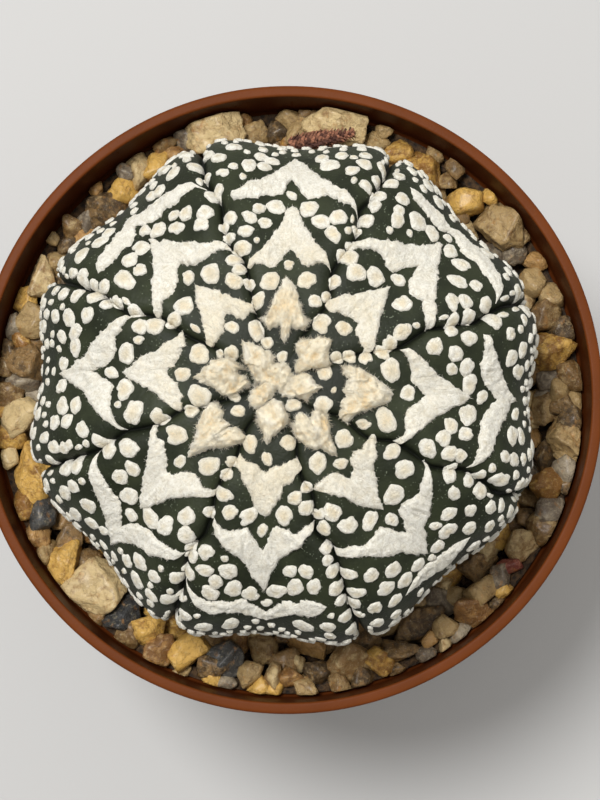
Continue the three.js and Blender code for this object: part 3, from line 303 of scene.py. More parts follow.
# The loose felt flecks that the photograph shows: middle and radius.
FLECKS = [
    # +X rib
    (434, 347, 8.5), (451, 331, 6.5), (467, 339, 8), (455, 354, 8), (453, 369, 6), (468, 367, 8.3),
    (473, 384, 9.5), (487, 397, 7), (471, 415, 10.5), (452, 426, 7.8), (466, 434, 7.5), (443, 438, 8),
    (427, 448, 9), (448, 453, 8), (458, 455, 7), (492, 322, 8.5), (507, 335, 6.5), (518, 322, 5.5),
    (521, 313, 6.5), (513, 358, 8.5), (522, 350, 8), (529, 331, 6), (534, 318, 6), (523, 371, 9),
    (522, 415, 7), (515, 436, 9.5), (524, 437, 8), (502, 456, 6.5), (511, 459, 7.5), (520, 459, 6),
    (527, 454, 6), (480, 475, 5.5), (497, 478, 9), (514, 482, 7), (524, 479, 6), (391, 370, 10.5),
    (383, 352, 7.5), (409, 393, 7.8), (386, 420, 11), (374, 439, 4), (334, 390, 3), (323, 405, 9),
    # +X +Y rib
    (366, 222, 7.5), (374, 208, 7), (378, 197, 8), (390, 187, 7), (397, 181, 6), (406, 168, 6.5),
    (409, 177, 6), (427, 187, 8), (425, 174, 6), (441, 200, 8), (401, 202, 7.5), (398, 213, 6.5),
    (397, 221, 8), (419, 220, 10.5), (436, 229, 9), (453, 233, 5), (455, 247, 8.5), (464, 263, 8.8),
    (458, 281, 8.8), (474, 287, 6.5), (451, 303, 8), (463, 303, 7.5), (483, 306, 8), (453, 321, 7),
    (468, 317, 7.5), (489, 252, 8), (508, 266, 7.5), (504, 274, 5.5), (513, 294, 8), (521, 285, 5.5),
    (350, 258, 8.5), (342, 255, 5.5), (356, 273, 9.5), (376, 276, 9.5), (400, 278, 7), (403, 303, 9),
    (402, 332, 8.8), (390, 343, 7.5), (344, 328, 7.5), (322, 323, 9.5), (337, 357, 6), (350, 356, 6.5),
    (366, 358, 6.5), (325, 373, 7),
    # +Y rib
    (292, 191, 5.5), (276, 204, 9), (309, 206, 9.5), (259, 208, 6.3), (250, 218, 7), (265, 222, 6.5),
    (231, 219, 7), (246, 232, 7), (242, 248, 8.5), (321, 221, 8.5), (338, 219, 8.5), (333, 235, 8.3),
    (212, 198, 7), (224, 226, 6), (229, 237, 6), (357, 230, 5), (351, 245, 5), (342, 254, 6),
    (249, 165, 8.5), (264, 163, 7), (261, 154, 7), (272, 156, 7), (235, 151, 8), (222, 146, 7),
    (210, 159, 6.5), (220, 163, 7.5), (224, 177, 5.8), (219, 191, 5.8), (207, 177, 5), (330, 163, 10),
    (342, 156, 7), (323, 154, 8), (351, 174, 7), (363, 169, 8), (364, 161, 6), (378, 157, 7.5),
    (358, 150, 7), (365, 189, 6.5), (381, 171, 6), (376, 182, 6), (289, 264, 5.3), (270, 281, 9.5),
    (307, 280, 9), (258, 300, 7.5), (315, 301, 6.5), (335, 281, 6.5), (326, 296, 5), (249, 283, 6),
    (239, 269, 6.5), (234, 260, 7),
    # -X +Y rib
    (141, 226, 7), (155, 226, 9), (138, 245, 9.5), (175, 226, 8), (173, 214, 6), (186, 214, 7.5),
    (206, 215, 8.5), (202, 226, 8), (129, 259, 8.5), (139, 269, 7), (126, 281, 10.5), (106, 287, 7),
    (95, 285, 5.5), (117, 302, 6.5), (134, 311, 7), (214, 196, 7), (187, 276, 7), (210, 273, 10),
    (234, 281, 8.5), (184, 306, 9.5), (173, 320, 8), (232, 327, 6.5), (256, 330, 9), (267, 342, 6),
    (231, 353, 7.5), (219, 353, 4), (158, 190, 8), (149, 193, 7), (175, 177, 8), (188, 161, 8),
    (196, 170, 7.5), (166, 173, 7.5), (171, 161, 7), (99, 241, 9), (105, 230, 8), (85, 258, 9),
    (77, 250, 7), (86, 279, 8.5), (77, 275, 6), (67, 269, 6),
    # -X rib
    (108, 372, 7), (125, 353, 9.5), (139, 340, 5), (155, 326, 9), (141, 327, 8), (123, 389, 10),
    (134, 412, 11), (159, 417, 8.5), (101, 442, 8), (182, 374, 7.5), (199, 354, 10), (199, 396, 11),
    (90, 316, 8), (71, 319, 9), (58, 317, 7), (49, 306, 7.5), (75, 332, 8.5), (72, 346, 8.5), (60, 336, 7),
    (80, 297, 7), (68, 296, 7), (61, 293, 5), (96, 297, 8), (107, 304, 6.5), (57, 362, 7.5), (38, 298, 6),
    (44, 326, 7), (55, 386, 8), (60, 406, 9), (74, 405, 8), (56, 422, 7.5), (68, 421, 7.5), (85, 429, 8),
    (49, 437, 7), (59, 446, 7.5), (68, 447, 6), (73, 444, 5), (40, 454, 7.5), (53, 459, 5.5), (37, 414, 7),
    (38, 433, 7),
    # -X -Y rib
    (127, 518, 7), (126, 498, 9.5), (120, 477, 8), (132, 469, 7.5), (130, 448, 10), (109, 449, 9),
    (148, 520, 10), (165, 526, 9.5), (187, 516, 9), (187, 534, 8.8), (209, 513, 6), (191, 547, 6),
    (179, 462, 6.3), (209, 466, 10), (176, 435, 10.5), (79, 465, 8), (68, 468, 8), (53, 482, 6),
    (69, 491, 8), (77, 485, 7), (87, 506, 9), (74, 515, 9), (61, 507, 8), (51, 506, 6), (87, 526, 8),
    (98, 535, 6), (116, 555, 4), (139, 563, 9), (124, 564, 8), (156, 574, 7), (137, 580, 9), (177, 576, 7),
    (154, 591, 7), (154, 598, 5), (170, 596, 8), (139, 598, 6), (157, 611, 6.5),
    # -Y rib
    (267, 459, 6), (288, 443, 7.5), (250, 444, 8), (262, 532, 6), (248, 517, 9), (284, 516, 9),
    (230, 512, 7.5), (224, 495, 8), (295, 498, 7), (306, 508, 7.5), (307, 488, 6), (226, 475, 6.5),
    (266, 609, 5.5), (250, 599, 9), (276, 596, 9.5), (233, 591, 9), (228, 572, 9), (216, 581, 7.5),
    (206, 568, 7.5), (207, 551, 8), (211, 591, 8.5), (290, 573, 7), (306, 571, 7.5), (295, 589, 9),
    (314, 585, 8), (192, 556, 7), (189, 572, 7.5), (180, 597, 5), (230, 627, 9.5), (205, 623, 9),
    (187, 611, 7), (181, 619, 7), (195, 631, 8), (303, 628, 10), (327, 623, 7.5), (329, 631, 6),
    (330, 638, 6),
    # +X -Y rib
    (392, 452, 8), (404, 469, 9.5), (395, 496, 10.5), (394, 522, 7), (371, 522, 8.8), (348, 525, 9),
    (332, 512, 9), (319, 514, 6), (324, 528, 7), (452, 492, 7), (450, 473, 8.5), (467, 480, 6.5),
    (477, 490, 8), (449, 514, 8), (468, 509, 6.5), (486, 505, 7), (497, 504, 6), (504, 509, 6.5),
    (508, 516, 5.5), (438, 528, 5.5), (450, 533, 9.5), (469, 528, 7.5), (486, 524, 7), (493, 536, 8),
    (442, 551, 8), (476, 548, 8), (517, 512, 6), (348, 573, 7), (370, 573, 7.5), (394, 571, 9),
    (422, 570, 8), (437, 563, 5), (356, 590, 7.5), (385, 587, 9), (407, 583, 9), (354, 603, 7),
    (373, 603, 7.5), (394, 599, 7.5), (375, 617, 7), (394, 611, 6.5), (359, 613, 5), (379, 629, 9),
    (326, 548, 6), (327, 559, 5.5), (332, 570, 7), (336, 587, 8), (340, 599, 6), (344, 614, 7),
    (350, 626, 7), (344, 439, 9), (318, 463, 9.5), (341, 464, 6.3), (364, 424, 6),
    # around the crown
    (234, 397, 5.5), (238, 411, 6.5), (293, 405, 7), (282, 356, 5.5), (231, 462, 6), (190, 411, 7),
]

# The stones that stand out in the photograph: middle, length, width, a turn in degrees and the kind of stone.
SHOWN_STONES = [
    (255, 125, 30, 28, 0, "tan"), (278, 126, 26, 24, 20, "brown"), (378, 137, 30, 26, 0, "tan"),
    (404, 142, 26, 22, 40, "gold"), (430, 157, 38, 36, 0, "gold"), (465, 205, 34, 28, 20, "gold"),
    (446, 182, 20, 18, 0, "tan"), (524, 246, 30, 26, 60, "grey"), (560, 350, 50, 36, 10, "gold"),
    (548, 382, 26, 24, 0, "grey"), (570, 392, 22, 24, 0, "tan"), (546, 460, 36, 26, 80, "brown"),
    (531, 550, 34, 28, 40, "cream"), (508, 566, 24, 14, 10, "red"), (478, 566, 40, 32, 20, "brown"),
    (489, 600, 34, 28, 60, "tan"), (514, 589, 24, 19, 85, "grey"), (420, 625, 52, 30, 20, "brown"),
    (453, 638, 26, 22, 20, "tan"), (436, 650, 18, 14, 30, "amber"), (404, 656, 36, 22, 10, "brown"),
    (352, 672, 42, 38, 0, "cream"), (365, 643, 34, 24, 0, "brown"), (292, 688, 22, 20, 0, "amber"),
    (272, 688, 16, 26, 0, "cream"), (250, 682, 26, 22, 30, "tan"), (320, 690, 28, 22, 0, "brown"),
    (284, 662, 30, 26, 0, "brown"), (186, 660, 40, 32, 20, "gold"), (152, 628, 42, 32, 40, "gold"),
    (118, 622, 40, 30, 30, "slate"), (70, 540, 36, 30, 30, "brown"), (34, 520, 34, 26, 70, "slate"),
    (12, 420, 36, 38, 0, "cream"), (16, 362, 38, 36, 0, "brown"), (20, 316, 38, 34, 0, "tan"),
    (42, 256, 24, 24, 0, "tan"), (76, 213, 20, 28, 0, "grey"), (100, 206, 50, 40, 30, "brown"),
    (114, 176, 32, 28, 0, "gold"), (156, 157, 36, 30, 60, "gold"), (168, 137, 26, 22, 0, "amber"),
    (138, 168, 20, 30, 0, "cream"), (60, 240, 26, 20, 30, "brown"), (540, 280, 30, 26, 60, "tan"),
    (566, 405, 26, 20, 0, "brown"), (208, 690, 34, 22, 10, "brown"), (88, 560, 26, 22, 0, "brown"),
]

# The largest stones, each a piece of its own: middle, length, width, turn, rise and kind.
LARGE_STONES = {
    "stone_cream_southwest": (98, 592, 66, 54, 25, 2.2, "cream"),
    "stone_gold_southwest": (58, 565, 44, 32, 80, 2.0, "gold"),
    "stone_gold_west": (17, 482, 60, 42, 80, 1.6, "gold"),
    "stone_slate_south": (222, 661, 42, 44, 0, 1.8, "slate"),
    "stone_cream_north": (212, 126, 58, 42, 10, 3.4, "cream"),
    "stone_green_north": (338, 118, 60, 38, 160, 3.6, "cream"),
    "stone_cream_northeast": (497, 228, 46, 50, 0, 2.0, "tan"),
    "stone_peach_east": (563, 437, 34, 40, 0, 1.8, "tan"),
}
# The slots of the kinds that have one of their own, the rings of the stones of a middle size as radius and
# count, and the kinds that fill the rest, as common as they stand here.
STONE_SLOTS = {"slate": "stone_slate", "gold": "stone_gold"}
FILL_RINGS = [(28.5, 21), (33.5, 25), (38.3, 30)]
FILL_KINDS = ("tan", "brown", "gold", "tan", "cream", "gold", "brown", "amber", "tan", "grey")


MASK = 0xFFFFFFFF
LOW_BITS = 0xFFFF
CELL_PRIMES = (374761393, 668265263, 1442695041)
SEED_PRIME = 1274126177


class Draws:
    """Repeatable random numbers from 0 to 1, by the same rule as the solids use."""

    STEP = 0x6D2B79F5

    def __init__(self, seed):
        self.state = seed

    def __call__(self, low=0.0, high=1.0):
        self.skip(1)
        mixed = ((self.state ^ (self.state >> 15)) * (1 | self.state)) & MASK
        mixed = (mixed + (((mixed ^ (mixed >> 7)) * (61 | mixed)) & MASK) ^ mixed) & MASK
        return low + (high - low) * (mixed ^ (mixed >> 14)) / (MASK + 1)

    def skip(self, count):
        """Passes over numbers without using them."""
        self.state = (self.state + count * self.STEP) & MASK


def unit(vectors):
    """Vectors of the same direction, one long."""
    return vectors / np.linalg.norm(vectors, axis=-1, keepdims=True).clip(TINY)


def smoothstep(value, low, high):
    """0 below low, 1 above high and a smooth rise from one to the other."""
    share = np.clip((value - low) / (high - low), 0, 1)
    return share * share * (3 - 2 * share)


def crowded(steps, plain):
    """Even steps from 0 to 1 drawn towards both ends, apart from a plain share of them."""
    return plain * steps + (1 - plain) * (1 - np.cos(math.pi * steps)) / 2


def cell_value(cell, seed):
    """A repeatable number from 0 to 1 for each whole-number cell of space."""
    key = sum(cell[..., axis] * prime for axis, prime in enumerate(CELL_PRIMES)) + seed * SEED_PRIME
    key = key & MASK
    key = ((key ^ (key >> 13)) * SEED_PRIME) & MASK
    return ((key ^ (key >> 16)) & LOW_BITS) / LOW_BITS


def noise(points, size, seed=0):
    """Smooth noise from -1 to 1, with lumps about as large as size."""
    scaled = np.asarray(points, float) / size
    cell = np.floor(scaled).astype(np.int64)
    share = scaled - cell
    share = share * share * (3 - 2 * share)
    total = 0.0
    for corner in itertools.product((0, 1), repeat=3):
        weight = np.prod(np.where(np.array(corner), share, 1 - share), axis=-1)
        total = total + weight * cell_value(cell + np.array(corner), seed)
    return 2 * total - 1


def layered(points, layers):
    """Several layers of noise, each with its depth, size and seed."""
    return sum(depth * noise(points, size, seed) for depth, size, seed in layers)


def around_axis(radius, turns, height):
    """Points at a radius and a height, all round the upright axis."""
    x, y = radius * np.cos(turns), radius * np.sin(turns)
    return np.stack((x, y, height + np.zeros_like(x)), axis=-1)


# The plant's body: a place on it is an angle from the apex, here its fall, and an azimuth.
def profile(fall):
    """The radius and height of the smooth body."""
    up = np.cos(fall)
    reach = np.where(up > 0, CROWN_RISE, BASE_DROP)
    radius = BODY_RADIUS * np.sin(fall).clip(0) ** FULLNESS
    return radius, WAIST_HEIGHT + np.sign(up) * reach * np.abs(up) ** FULLNESS


def profile_normal(fall):
    """How much of the smooth body's normal points away from the axis, and how much points up."""
    step = 0.01
    low_radius, low_height = profile(np.maximum(fall - step, 0))
    high_radius, high_height = profile(np.minimum(fall + step, math.pi))
    across, up = low_height - high_height, high_radius - low_radius
    length = np.hypot(across, up)
    return across / length, up / length


SIGHT = unit(AIM - EYE)
SIGHT_RIGHT = unit(np.cross(SIGHT, (0.0, 1.0, 0.0)))
SIGHT_UP = np.cross(SIGHT_RIGHT, SIGHT)


def sight_lines(pixels):
    """The directions in which the camera sees these pixels."""
    pixels = np.asarray(pixels, float)
    right = (pixels[..., :1] - FRAME_WIDTH / 2) / FOCAL_PIXELS
    up = (FRAME_HEIGHT / 2 - pixels[..., 1:2]) / FOCAL_PIXELS
    return SIGHT + right * SIGHT_RIGHT + up * SIGHT_UP


def at_height(pixels, height):
    """Where the lines of sight through these pixels pass a height."""
    ray = sight_lines(pixels)
    return EYE + ray * ((height - EYE[2]) / ray[..., 2:3])


# The falls at which a line of sight is tested against the body.
SIGHT_STEPS = np.linspace(0.004, math.pi / 2, 360)


def on_body(pixels):
    """Where the lines of sight through these pixels first meet the smooth body, as falls and azimuths."""
    flat = np.asarray(pixels, float).reshape(-1, 2)
    ray = sight_lines(flat)[:, None, :]
    radius, height = profile(SIGHT_STEPS)
    points = EYE + ray * ((height[None, :, None] - EYE[2]) / ray[..., 2:3])
    miss = np.hypot(points[..., 0], points[..., 1]) - radius
    inside = miss <= 0
    hit = inside.any(axis=1)
    after = np.where(hit, inside.argmax(axis=1), np.abs(miss).argmin(axis=1)).clip(1)
    row = np.arange(len(flat))
    near, far = miss[row, after - 1], miss[row, after]
    share = np.where(hit, near / np.where(near == far, 1, near - far), 1).clip(0, 1)
    fall = SIGHT_STEPS[after - 1] + share * (SIGHT_STEPS[after] - SIGHT_STEPS[after - 1])
    point = points[row, after - 1] + share[:, None] * (points[row, after] - points[row, after - 1])
    azimuth = np.arctan2(point[:, 1], point[:, 0])
    shape = np.asarray(pixels).shape[:-1]
    return fall.reshape(shape), azimuth.reshape(shape)


FURROW_FALLS = np.linspace(0, math.pi, 500)
SOFTENED_STEPS = 3


def furrow_course(pixels):
    """The azimuth of a furrow at every fall. Beyond its last place it runs straight down."""
    fall, azimuth = on_body(pixels)
    order = np.argsort(fall)
    course = np.interp(FURROW_FALLS, fall[order], np.unwrap(azimuth[order]))
    window = 2 * SOFTENED_STEPS + 1
    return np.convolve(np.pad(course, SOFTENED_STEPS, mode="edge"), np.full(window, 1 / window), mode="valid")


FURROW_COURSES = [furrow_course(pixels) for pixels in FURROWS]
RIBS = len(FURROWS)


def rib_edges(rib, fall):
    """The azimuths of the two furrows beside a rib."""
    start = np.interp(fall, FURROW_FALLS, FURROW_COURSES[rib])
    end = np.interp(fall, FURROW_FALLS, FURROW_COURSES[(rib + 1) % RIBS])
    return start, start + (end - start) % TAU


def rib_share(fall, azimuth):
    """How far across its rib a place is, from 0 to 1, and the rib's width as an angle."""
    share = np.zeros_like(fall)
    width = np.full_like(fall, TAU / RIBS)
    for rib in range(RIBS):
        start, end = rib_edges(rib, fall)
        along = ((azimuth - start) % TAU) / (end - start)
        inside = along < 1
        share = np.where(inside, along, share)
        width = np.where(inside, end - start, width)
    return share, width


def furrow_distance(radius, share, width):
    """How many millimetres it is to the nearer furrow."""
    return np.minimum(share, 1 - share) * width * radius


def relief(fall, share, width):
    """How far the skin stands out of the smooth body: swollen ribs, pinched furrows and a dipped crown."""
    radius, _ = profile(fall)
    grown = smoothstep(radius, RIBS_START, BODY_RADIUS)
    to_furrow = furrow_distance(radius, share, width)
    furrow = FURROW_DEPTH * (YOUNG_FURROW + (1 - YOUNG_FURROW) * grown) * smoothstep(radius, *FURROW_START)
    dip = CROWN_DIP * np.exp(-((radius / CROWN_DIP_RADIUS) ** 2)) * (fall < math.pi / 2)
    crease = CREASE_DEPTH * np.exp(-to_furrow / CREASE_WIDTH) * smoothstep(radius, *CREASE_START)
    return SWELL * grown * np.cos(TAU * share) - furrow * np.exp(-to_furrow / FURROW_WIDTH) - crease - dip


def skin(fall, azimuth, share=None, width=None):
    """Points on the ribbed skin."""
    if share is None:
        share, width = rib_share(fall, azimuth)
    radius, height = profile(fall)
    across, up = profile_normal(fall)
    out = relief(fall, share, width)
    return around_axis(radius + out * across, azimuth, height + out * up)


def skin_normal(fall, azimuth):
    """The directions in which the ribbed skin faces."""
    step = 0.006
    fall = np.maximum(fall, 2 * step)
    down = skin(fall + step, azimuth) - skin(fall - step, azimuth)
    turn = step / np.sin(fall).clip(0.05)
    around = skin(fall, azimuth + turn) - skin(fall, azimuth - turn)
    return unit(np.cross(down, around))


def moved(fall, azimuth, down, around):
    """A place moved by millimetres down and around the body."""
    step = 0.01
    near_radius, near_height = profile(fall)
    far_radius, far_height = profile(fall + step)
    speed = np.hypot(far_radius - near_radius, far_height - near_height) / step
    return fall + down / speed, azimuth + around / np.maximum(near_radius, 1)


def grid_faces(rows, columns, closed=False):
    """Quads over a grid of points. The columns may close on themselves."""
    last = columns if closed else columns - 1
    row, column = np.meshgrid(np.arange(rows - 1), np.arange(last), indexing="ij")
    following = (column + 1) % columns
    quads = (row * columns + column, (row + 1) * columns + column,
             (row + 1) * columns + following, row * columns + following)
    return np.stack(quads, axis=-1).reshape(-1, 4)


class Sheets:
    """Gathers patches of points and faces into one mesh, each point with a shade and a depth into its pad."""

    def __init__(self):
        self.points, self.faces, self.shades, self.cores, self.count = [], [], [], [], 0

    def add(self, points, faces, shade=0.0, core=0.0):
        """Adds a patch, whose faces count its own points from 0."""
        points = np.asarray(points, float).reshape(-1, 3)
        self.points.append(points)
        self.faces.extend((np.asarray(faces) + self.count).tolist())
        for values, kept in ((shade, self.shades), (core, self.cores)):
            kept.append(np.broadcast_to(np.asarray(values, float).reshape(-1), len(points)))
        self.count += len(points)

    def mesh(self, name):
        """The gathered points and faces as a mesh in metres."""
        mesh = bpy.data.meshes.new(name)
        mesh.from_pydata((np.concatenate(self.points) * MM).tolist(), [], self.faces)
        return mesh

    def piece(self, name, material, slot, nodes=()):
        """The gathered mesh as an object that rides on the body of the model."""
        mesh = self.mesh(name)
        for key, values in (("shade", self.shades), ("core", self.cores)):
            attribute = mesh.attributes.new(key, "FLOAT", "POINT")
            attribute.data.foreach_set("value", np.concatenate(values).astype(np.float32))
        mesh.polygons.foreach_set("use_smooth", [True] * len(mesh.polygons))
        mesh.materials.append(material)
        mesh.update()
        made = linked(name, mesh)
        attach(made, BODY)
        if nodes:
            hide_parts(*nodes)
        return made


def linked(name, data):
    """A new object in the scene."""
    made = bpy.data.objects.new(name, data)
    bpy.context.scene.collection.objects.link(made)
    return made


class Field:
    """A shader socket that takes part in plain arithmetic."""

    def __init__(self, tree, socket):
        self.tree, self.socket = tree, socket

    def math(self, operation, *values):
        return self.tree.node("ShaderNodeMath", {"operation": operation}, dict(enumerate(values)))

    def __add__(self, other):
        return self.math("ADD", self, other)

    def __radd__(self, other):
        return self.math("ADD", other, self)

    def __sub__(self, other):
        return self.math("SUBTRACT", self, other)

    def __rsub__(self, other):
        return self.math("SUBTRACT", other, self)

    def __mul__(self, other):
        return self.math("MULTIPLY", self, other)

    def __rmul__(self, other):
        return self.math("MULTIPLY", other, self)

    def __pow__(self, other):
        return self.math("POWER", self, other)

    def between(self, low, high):
        """0 below low, 1 above high and a smooth rise from one to the other."""
        return self.tree.node("ShaderNodeMapRange", {"interpolation_type": "SMOOTHSTEP"},
                              {"Value": self, "From Min": low, "From Max": high})


class Tree:
    """The nodes of a material or of the world, around the one that is already there."""

    def __init__(self, owner, shader):
        owner.use_nodes = True
        self.nodes, self.links = owner.node_tree.nodes, owner.node_tree.links
        self.shader = self.nodes[shader]

    def node(self, kind, settings=None, inputs=None, output=0):
        """Any node: its settings come first, then the values or links of its sockets."""
        made = self.nodes.new(kind)
        for key, value in (settings or {}).items():
            setattr(made, key, value)
        self.give(made, inputs or {})
        return Field(self, made.outputs[output])

    def give(self, node, inputs):
        """Sets a node's sockets, or links them where the value is a field."""
        for key, value in inputs.items():
            if isinstance(value, Field):
                self.links.new(value.socket, node.inputs[key])
            else:
                node.inputs[key].default_value = value


class Shading(Tree):
    """One material, whose nodes are made by expressions."""

    def __init__(self, name, **constants):
        self.material = bpy.data.materials.new(name)
        super().__init__(self.material, "Principled BSDF")
        self.feed(**constants)
        self.place = self.node("ShaderNodeTexCoord", output="Object")

    def feed(self, **values):
        """Gives the shader's sockets, named in small letters, their values or fields."""
        names = {key: key.replace("_", " ").title().replace("Ior", "IOR") for key in values}
        self.give(self.shader, {names[key]: value for key, value in values.items()})

    def noise(self, millimetres, detail=3.0, roughness=0.5, stretch=None, distortion=0.0):
        """Noise from 0 to 1, with lumps of about that many millimetres."""
        place = self.place
        if stretch:
            place = self.node("ShaderNodeVectorMath", {"operation": "MULTIPLY"}, {0: place, 1: stretch})
        inputs = {"Vector": place, "Scale": 1 / (millimetres * MM), "Detail": detail, "Roughness": roughness,
                  "Distortion": distortion}
        return self.node("ShaderNodeTexNoise", None, inputs)

    def cells(self, millimetres):
        """The distance to the middle of the nearest of many cells, of about that many millimetres."""
        inputs = {"Vector": self.place, "Scale": 1 / (millimetres * MM)}
        return self.node("ShaderNodeTexVoronoi", None, inputs)

    def attribute(self, name):
        return self.node("ShaderNodeAttribute", {"attribute_name": name}, output="Fac")

    def mix(self, first, second, factor):
        """Two colours mixed by a factor."""
        first, second = (value if isinstance(value, Field) else (*value, 1) for value in (first, second))
        return self.node("ShaderNodeMix", {"data_type": "RGBA"}, {0: factor, 6: first, 7: second}, output=2)

    def bump(self, height, millimetres, strength):
        return self.node("ShaderNodeBump", None,
                         {"Height": height, "Distance": millimetres * MM, "Strength": strength})


def colour(name, default, description):
    return FloatVectorProperty(name=name, description=description, default=default, subtype="COLOR",
                               min=0, max=1)


def length(name, millimetres, description):
    return FloatProperty(name=name, description=description, default=millimetres * MM, min=0, unit="LENGTH",
                         precision=5)


class PlantSettings(PropertyGroup):
    """Sizes and colours of the plant."""

    felt_thickness: length("Felt thickness", 0.5, "How far the old felt stands out of the skin")
    fleck_thickness: length("Fleck thickness", 0.32, "How far a loose fleck stands out of the skin")
    wool_thickness: length("Wool thickness", 1.45, "How far the young wool stands out of the skin")
    hair_length: length("Hair length", 0.34, "Length of the short hairs at the edges of the felt")
    skin_dark: colour("Dark skin", (0.0075, 0.0095, 0.0045), "The darkest green of the skin")
    skin_light: colour("Light skin", (0.030, 0.036, 0.017), "The lightest green of the skin")
    felt_white: colour("Felt", (0.95, 0.92, 0.825), "Clean felt")
    felt_cream: colour("Aged felt", (0.89, 0.80, 0.61), "Felt that has yellowed")
    wool_light: colour("Light wool", (1.0, 0.965, 0.87), "The palest young wool")
    wool_cream: colour("Wool", (0.97, 0.87, 0.66), "The most common shade of the young wool")
    wool_tan: colour("Wool shade", (0.82, 0.60, 0.31), "The deepest shade of the young wool")


# The light and the dark colour of each kind of stone.
STONE_TONES = {
    "gold": ((0.59, 0.345, 0.072), (0.22, 0.095, 0.013)),
    "amber": ((0.44, 0.245, 0.078), (0.18, 0.080, 0.018)),
    "cream": ((0.57, 0.42, 0.20), (0.27, 0.150, 0.050)),
    "tan": ((0.37, 0.245, 0.098), (0.15, 0.078, 0.020)),
    "brown": ((0.24, 0.138, 0.046), (0.055, 0.030, 0.008)),
    "grey": ((0.34, 0.275, 0.185), (0.13, 0.095, 0.060)),
    "slate": ((0.056, 0.053, 0.047), (0.014, 0.014, 0.013)),
    "red": ((0.42, 0.12, 0.06), (0.16, 0.03, 0.015)),
}


class StoneSettings(PropertyGroup):
    """The number of loose chips, and a light and a dark colour for each kind of stone."""

    loose_chips: IntProperty(name="Loose chips", description="Tries at placing chips between the stones",
                             default=3000, min=0)


for kind, tones in STONE_TONES.items():
    for part, tone in zip(("light", "dark"), tones):
        made = colour(f"{part.title()} {kind}", tone, f"The {part} parts of the {kind} stones")
        StoneSettings.__annotations__[f"{kind}_{part}"] = made


class PotSettings(PropertyGroup):
    """Colours of the pot and what fills it."""

    pot_colour: colour("Pot", (0.121, 0.0315, 0.0070), "The pot's terracotta-coloured plastic")
    pot_worn: colour("Worn pot", (0.17, 0.055, 0.020), "The pot's plastic where it is rubbed")
    # Painted shade: the colour that darkens the inner wall below the lip.
    pot_inner_shade: colour("Inside of the pot", (0.068, 0.0165, 0.0035), "The shaded inner wall")
    mix_dark: colour("Dark mix", (0.020, 0.012, 0.007), "Damp potting mix")
    mix_light: colour("Light mix", (0.10, 0.065, 0.035), "Dry grains of the potting mix")


class StageSettings(PropertyGroup):
    """The floor and the lights."""

    floor_colour: colour("Floor", (0.435, 0.430, 0.420), "The plain pale floor")
    key_power: FloatProperty(name="Key light", description="Power of the soft light from the upper left",
                             default=8.9, min=0, unit="POWER")
    sky_strength: FloatProperty(name="Room light", description="Strength of the light from overhead",
                                default=1.06, min=0)
    wall_strength: FloatProperty(name="Side light", description="Strength of the light from the sides",
                                 default=0.12, min=0)


# Colours that no setting holds. Most belong to a finish; the skin's crease colour and the felt's fold and
# fibre-gap colours are painted shade, and the grit's colours are partly painted shade.
SKIN_SPECK = (0.24, 0.27, 0.19)
SKIN_PAINTED_SHADE = (0.004, 0.005, 0.003)
OLD_FELT = (0.80, 0.64, 0.40)
FELT_FOLD_SHADE = (0.60, 0.54, 0.40)
FIBRE_GAP_SHADE = (0.30, 0.26, 0.17)
QUARTZ_MILK = (0.27, 0.2241, 0.1296)
IRON_STAIN = (0.42, 0.19, 0.04)
POT_SPECK = (0.10, 0.045, 0.02)
GRIT_AND_SHADE_DARK = (0.012, 0.006, 0.002)
GRIT_AND_SHADE_LIGHT = (0.11, 0.055, 0.017)
PETAL_DARK = (0.060, 0.018, 0.010)
PETAL_LIGHT = (0.37, 0.155, 0.085)


def toned(tone, share, added=(0, 0, 0)):
    """A share of a colour, with another one added."""
    return tuple(share * part + more for part, more in zip(tone, added))


def skin_material(plant):
    """Dark green skin with fine pale specks, and painted shade that makes it nearly black in its creases and
    on the crown between the tufts.
    """
    shading = Shading("cactus_skin", specular_ior_level=0.18)
    patches = shading.noise(5, detail=4).between(0.35, 0.7)
    grain = shading.noise(0.35, roughness=0.6)
    base = shading.mix(plant.skin_dark, plant.skin_light, patches * 0.55 + grain * 0.45)
    specks = 1 - shading.cells(0.42).between(0.10, 0.26)
    shown = specks * shading.noise(1.6, detail=2).between(0.5, 0.62)
    base = shading.mix(base, SKIN_SPECK, shown * 0.6)
    # Painted shade: nearly black in the creases, and darker on the crown under the wool.
    base = shading.mix(base, SKIN_PAINTED_SHADE, shading.attribute("shade").between(0.25, 0.9) * 0.9)
    relief_height = grain + shading.noise(1.4, detail=2) * 1.5
    shading.feed(base_color=base, roughness=0.42 + grain * 0.25,
                 normal=shading.bump(relief_height, 0.12, 0.5))
    return shading.material


